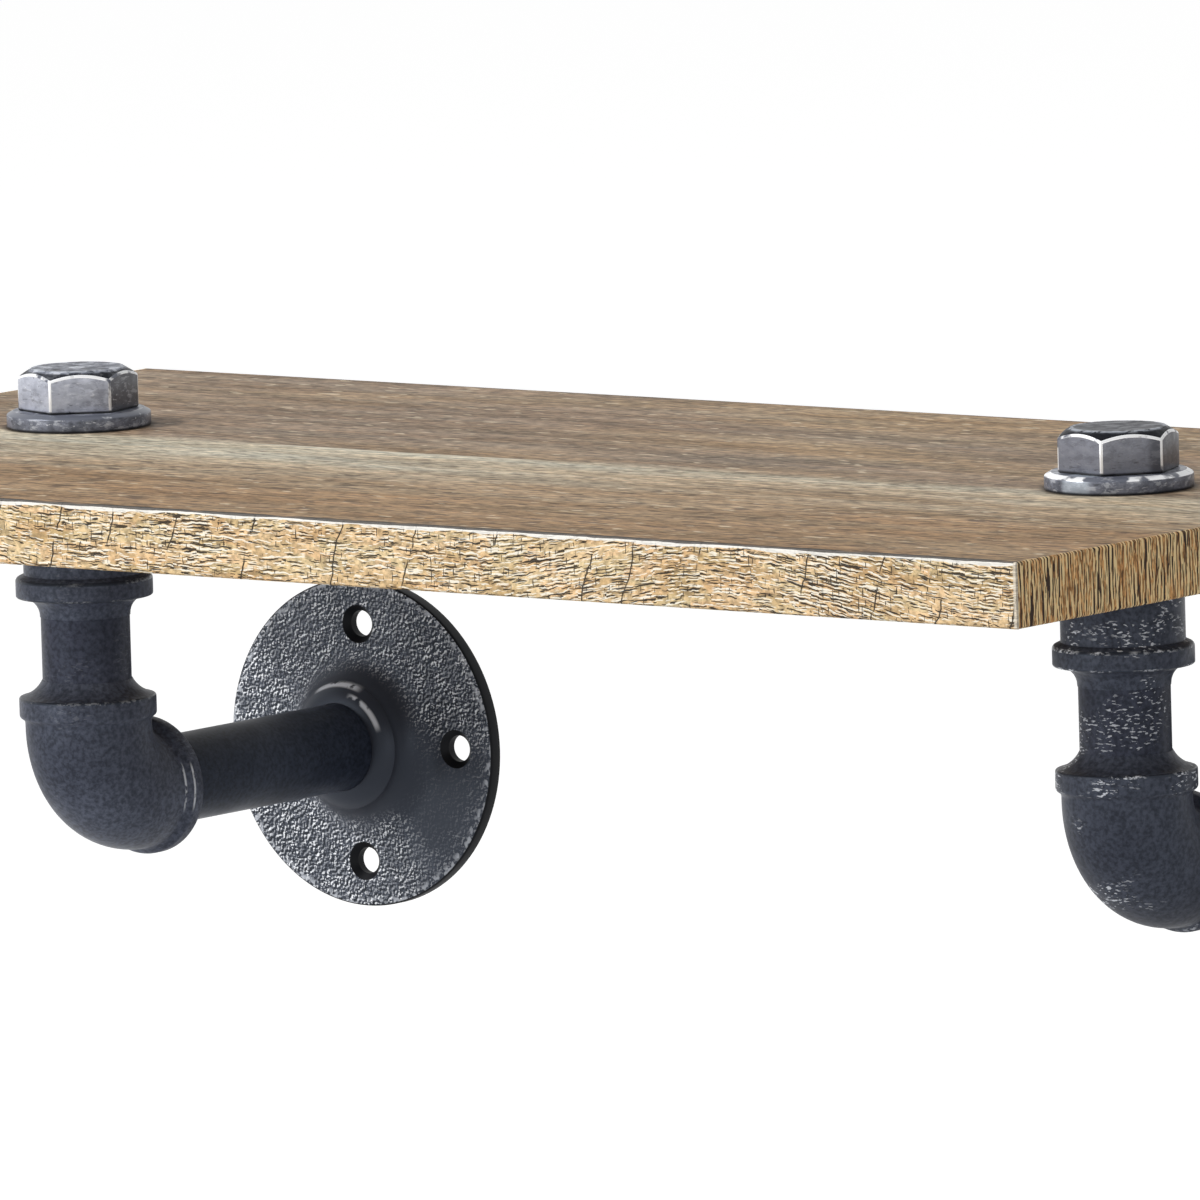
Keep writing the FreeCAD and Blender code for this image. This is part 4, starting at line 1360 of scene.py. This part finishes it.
bpy.ops.mesh.select_all(action="DESELECT")
elbow_mesh = bmesh.from_edit_mesh(left_elbow.data)
for edge in elbow_mesh.edges:
    edge.select_set(edge.is_boundary)
bmesh.update_edit_mesh(left_elbow.data)
bpy.ops.mesh.bridge_edge_loops(number_cuts=WATERWAY_CUTS, interpolation="PATH", smoothness=1.0)
close_mesh()
dress(left_elbow, cast_finish, rubbed_and_glint_finish)


def is_elbow_edge(middle):
    """True on the upper corner of the upright band."""
    return abs(middle.z - BAND_TOP) < EDGE_HEIGHT and middle.xy.length > BAND - EDGE_DEPTH


finish_faces(left_elbow, 1, is_elbow_edge)
move_mesh(left_elbow, LEFT_AXIS)
right_elbow = copy_to_right(left_elbow)
hand_over_pair(left_elbow, right_elbow, "elbow")

# %% [markdown]
# ## The coupling
# The coupling is a straight piece with a band near each end. Its lower lip runs into the band in a round
# hollow, as on the elbow, and its flat top carries the board. It has no bend, so section and spin are
# enough here.

# %% Coupling
COUPLING_FOOT = 43.2
COUPLING_LENGTH = 30.5
LIP_HEIGHT = 4.7
LIP_FILLET = 4.5
BAND_LENGTH = 4.7
BAND_SLOPE = 0.9
BODY = 14.4
PLUG_DEPTH = 12
INNER_ROUND = 0.7
OUTER_ROUND = 0.5
CORNER_HEIGHT = 0.7
CORNER_DEPTH = 0.5

lower_band_top = LIP_HEIGHT + BAND_LENGTH
upper_band_foot = COUPLING_LENGTH - BAND_LENGTH
fillet_start = (LIP, LIP_HEIGHT - LIP_FILLET)
fillet_end = (LIP + LIP_FILLET, LIP_HEIGHT)
coupling_corners = [(SOCKET, 0), (LIP, 0), fillet_start]
coupling_corners += arc(fillet_start, fillet_end, LIP_FILLET, hollow=True)
coupling_corners += [
    (BAND, LIP_HEIGHT),
    (BAND, lower_band_top),
    (BODY, lower_band_top + BAND_SLOPE),
    (BODY, upper_band_foot - BAND_SLOPE),
    (BAND, upper_band_foot),
    (BAND, COUPLING_LENGTH),
    (SOCKET, COUPLING_LENGTH),
    (SOCKET, COUPLING_LENGTH - PLUG_DEPTH),
    (STOP, COUPLING_LENGTH - PLUG_DEPTH),
    (STOP, THREAD_DEPTH),
    (SOCKET, THREAD_DEPTH),
]
left_coupling = draw_section("left_coupling_casting", coupling_corners)
round_corners(left_coupling, [(BAND, lower_band_top), (BAND, upper_band_foot)], INNER_ROUND)
round_corners(left_coupling, [(BAND, LIP_HEIGHT), (BAND, COUPLING_LENGTH)], OUTER_ROUND)
spin_round()
dress(left_coupling, cast_finish, rubbed_and_glint_finish)


def is_band_corner(middle):
    """True on the rounded corners of the two bands."""
    heights = (LIP_HEIGHT, lower_band_top, upper_band_foot)
    at_corner = any(abs(middle.z - height) < CORNER_HEIGHT for height in heights)
    return at_corner and middle.xy.length > BAND - CORNER_DEPTH


finish_faces(left_coupling, 1, is_band_corner)
move_mesh(left_coupling, LEFT_AXIS + Vector((0, 0, COUPLING_FOOT)))
right_coupling = copy_to_right(left_coupling)
hand_over_pair(left_coupling, right_coupling, "coupling")

# %% [markdown]
# ## The washer
# The washer is a thick turned ring, whose upper edge slopes. The slope gets the worn finish, whose bright
# band there is a painted highlight, and the other edges are broken by a small bevel, because a perfectly
# sharp edge catches no light.

# %% Washer
WASHER_FOOT = 88.7
WASHER_INNER = 11
WASHER_RADIUS = 17.2
WASHER_HEIGHT = 4.1
WASHER_SHOULDER = 3.2
WASHER_TOP_RADIUS = 15.6
SLOPE_ROOM = 0.1

washer_corners = (
    (WASHER_INNER, 0),
    (WASHER_RADIUS, 0),
    (WASHER_RADIUS, WASHER_SHOULDER),
    (WASHER_TOP_RADIUS, WASHER_HEIGHT),
    (WASHER_INNER, WASHER_HEIGHT),
)


def is_washer_slope(middle):
    """True on the sloped shoulder."""
    on_slope = WASHER_SHOULDER + SLOPE_ROOM < middle.z < WASHER_HEIGHT - SLOPE_ROOM
    return on_slope and middle.xy.length > WASHER_TOP_RADIUS


left_washer = draw_section("left_bevelled_washer", washer_corners)
spin_round()
dress(left_washer, washer_finish, highlit_and_worn_slope_finish)
finish_faces(left_washer, 1, is_washer_slope)
break_edges(left_washer, width=0.3, angle=25)
move_mesh(left_washer, LEFT_AXIS + Vector((0, 0, WASHER_FOOT)))
right_washer = copy_to_right(left_washer)
hand_over_pair(left_washer, right_washer, "washer")

# %% [markdown]
# ## The hexagon plug
# The plug starts as a six-sided prism. A lathe then turns its crown, so the corners are cut away in arcs:
# the prism is intersected with a blunt cone, which leaves those arcs where a chamfer by bevel would leave
# straight lines. The shank is joined on below. The bevels that follow carry the worn finish with its
# painted highlights.

# %% Head and shank of the plug
PLUG_FOOT = WASHER_FOOT + WASHER_HEIGHT
ACROSS_FLATS = 25
HEAD_HEIGHT = 10
HEAD_DISC = 11
CROWN_SLOPE = math.tan(math.radians(32))
CONE_RADIUS = 20
SHANK_RADIUS = 10.65
SHANK_LENGTH = 31.1
OVERLAP = 1
PLUG_SPIN = 96
HEX_SIDES = 6

corner_radius = ACROSS_FLATS / 2 / math.cos(math.pi / HEX_SIDES)
bpy.ops.object.select_all(action="DESELECT")
bpy.ops.mesh.primitive_cylinder_add(vertices=HEX_SIDES, radius=corner_radius * MM, depth=HEAD_HEIGHT * MM)
left_plug = bpy.context.object
left_plug.name = "left_hexagon_plug"
move_mesh(left_plug, (0, 0, HEAD_HEIGHT / 2), degrees=180 / HEX_SIDES)
crown_drop = (CONE_RADIUS - HEAD_DISC) * CROWN_SLOPE
cone_corners = (
    (0, -OVERLAP),
    (CONE_RADIUS, -OVERLAP),
    (CONE_RADIUS, HEAD_HEIGHT - crown_drop),
    (HEAD_DISC, HEAD_HEIGHT),
    (0, HEAD_HEIGHT),
)
shank_corners = (
    (0, -SHANK_LENGTH),
    (SHANK_RADIUS, -SHANK_LENGTH),
    (SHANK_RADIUS, OVERLAP),
    (0, OVERLAP),
)
crown = draw_section("crown", cone_corners)
spin_round(steps=PLUG_SPIN)
combine(left_plug, crown, "INTERSECT")
shank = draw_section("shank", shank_corners)
spin_round(steps=PLUG_SPIN)
combine(left_plug, shank, "UNION")
print(left_plug.name, "crown turned down by", round(crown_drop, 2), "mm at the cone's foot")

# %% [markdown]
# The disc and the turned crown get the scuffed finish, with its painted reflections, before the bevel, so
# that the bevel's faces can lie over it. Each plug was screwed tight by hand and stopped at a turn of its
# own, so the copy is turned on.

# %% Finish the plugs
CROWN_HEIGHT = 1.6
LEFT_TURN = 41
RIGHT_TURN = 50

dress(left_plug, steel_finish, worn_and_highlit_finish, top_finish)


def is_plug_top(middle):
    """True on the flat disc and the turned crown."""
    return middle.z > HEAD_HEIGHT - CROWN_HEIGHT


finish_faces(left_plug, 2, is_plug_top)
break_edges(left_plug, width=0.45, angle=40, material=1)
move_mesh(left_plug, LEFT_AXIS + Vector((0, 0, PLUG_FOOT)), degrees=LEFT_TURN)
right_plug = copy_to_right(left_plug)
right_center = LEFT_AXIS + Vector((BRACKET_SPACING, 0, 0))
move_mesh(right_plug, (0, 0, 0), degrees=RIGHT_TURN - LEFT_TURN, center=right_center)
hand_over_pair(left_plug, right_plug, "hex_plug")

# %% [markdown]
# ## Floor, light and camera
# The picture is a studio cut-out: white all round. The floor lies well below the shelf. Its camera and
# mirror rays get a glow, more where the lamps don't reach, so that it looks white without lighting the
# shelf and still takes a shadow. Seen from below it is clear.

# %% Pale floor
FLOOR_HEIGHT = -0.3
FLOOR_SIZE = 60
FLOOR_GREY = (0.46, 0.46, 0.46, 1)
FLOOR_GLOW = {"From Min": 0.5, "From Max": 1.3, "To Min": 0.58, "To Max": 0.82}


def sees_background(tree):
    """One for rays that show the background: from the camera, off metal and through glass."""
    path = add_node(tree, "LightPath").outputs
    seen = path["Is Camera Ray"]
    for ray in ("Is Glossy Ray", "Is Transmission Ray"):
        seen = add_node(tree, "Math", {0: seen, 1: path[ray]}, operation="MAXIMUM").outputs[0]
    return seen


bpy.ops.object.select_all(action="DESELECT")
bpy.ops.mesh.primitive_plane_add(size=FLOOR_SIZE, location=(0, 0, FLOOR_HEIGHT))
floor = bpy.context.object
floor.name = "studio_floor"
floor_material = bpy.data.materials.new("pale_floor")
floor_material.use_nodes = True
floor_tree = floor_material.node_tree
floor_tree.nodes.clear()
floor_place = add_node(floor_tree, "TexCoord").outputs["Object"]
floor_way = add_node(floor_tree, "VectorMath", {0: floor_place}, operation="LENGTH").outputs["Value"]
floor_level = add_node(floor_tree, "MapRange", {"Value": floor_way, **FLOOR_GLOW}).outputs["Result"]
glow_factors = {0: floor_level, 1: sees_background(floor_tree)}
glow_strength = add_node(floor_tree, "Math", glow_factors, operation="MULTIPLY").outputs[0]
floor_glow = add_node(floor_tree, "Emission", {"Strength": glow_strength}).outputs[0]
floor_paper = add_node(floor_tree, "BsdfDiffuse", {"Color": FLOOR_GREY}).outputs[0]
floor_front = add_node(floor_tree, "AddShader", {0: floor_paper, 1: floor_glow}).outputs[0]
floor_clear = add_node(floor_tree, "BsdfTransparent").outputs[0]
from_below = add_node(floor_tree, "NewGeometry").outputs["Backfacing"]
floor_sides = {0: from_below, 1: floor_front, 2: floor_clear}
floor_shader = add_node(floor_tree, "MixShader", floor_sides).outputs[0]
add_node(floor_tree, "OutputMaterial", {"Surface": floor_shader})
floor.data.materials.append(floor_material)
print("floor at", FLOOR_HEIGHT, "m")

# %% [markdown]
# The surroundings are white to the camera and to mirror rays, but they light the shelf at a lower level.
# A plain white world would be simpler, but it would wash out every shadow.

# %% White surroundings
AMBIENT = 0.336
WHITE = (1, 1, 1, 1)

world = bpy.data.worlds.new("white_studio")
bpy.context.scene.world = world
world.use_nodes = True
sky = world.node_tree
sky.nodes.clear()
sky_levels = {"Value": sees_background(sky), "To Min": AMBIENT, "To Max": 1.0}
sky_strength = add_node(sky, "MapRange", sky_levels).outputs["Result"]
backdrop = add_node(sky, "Background", {"Color": WHITE, "Strength": sky_strength}).outputs[0]
add_node(sky, "OutputWorld", {"Surface": backdrop})
print("ambient level", AMBIENT)

# %% [markdown]
# Three square lamps do the rest: the key high on the left, a box in front and a fill on the right. Their
# size makes the shadows soft, and they are kept low enough that no pale surface turns white.

# %% Lamps
AIM = Vector((0, -0.11, 0.05))


def add_lamp(name, place, size, watts):
    """A square soft box that looks at the shelf."""
    data = bpy.data.lights.new(name, "AREA")
    data.size = size
    data.energy = watts
    lamp = bpy.data.objects.new(name, data)
    bpy.context.scene.collection.objects.link(lamp)
    lamp.location = place
    lamp.rotation_euler = (AIM - Vector(place)).to_track_quat("-Z", "Y").to_euler()
    print(name, watts, "W")


add_lamp("soft_key", place=(-1.6, -1.6, 2.2), size=0.5, watts=64)
add_lamp("front_box", place=(-1.2, -3.0, 0.35), size=1.6, watts=36)
add_lamp("right_fill", place=(2.8, -2.2, 0.5), size=1.6, watts=18)

# %% [markdown]
# The camera stands where the photographer's stood. Its place, turn and lens were worked out by fitting
# the board's edges and the fittings' outlines to the picture: far off, with a very long lens, a little
# above the board and to the right of it.

# %% Camera
CAMERA_PLACE = Vector((2.80657, -3.73803, 0.61583))
YAW = 0.657795
PITCH = 0.121686
ROLL = -0.028769
FOCAL_PIXELS = 19793.3
PICTURE_PIXELS = 1200
SENSOR = 36
FARTHEST = 100

forward = Vector((-math.sin(YAW) * math.cos(PITCH), math.cos(YAW) * math.cos(PITCH), -math.sin(PITCH)))
level_right = Vector((math.cos(YAW), math.sin(YAW), 0))
level_up = level_right.cross(forward)
right = math.cos(ROLL) * level_right + math.sin(ROLL) * level_up
up = math.cos(ROLL) * level_up - math.sin(ROLL) * level_right
camera_data = bpy.data.cameras.new("camera")
camera_data.sensor_width = SENSOR
camera_data.lens = FOCAL_PIXELS / PICTURE_PIXELS * SENSOR
camera_data.clip_end = FARTHEST
camera = bpy.data.objects.new("camera", camera_data)
bpy.context.scene.collection.objects.link(camera)
turn = Matrix((right, up, -forward)).transposed()
camera.matrix_world = Matrix.Translation(CAMERA_PLACE) @ turn.to_4x4()
bpy.context.scene.camera = camera
bpy.context.scene.view_settings.view_transform = "Standard"
print("camera at", [round(c, 3) for c in CAMERA_PLACE], "lens", round(camera_data.lens), "mm")
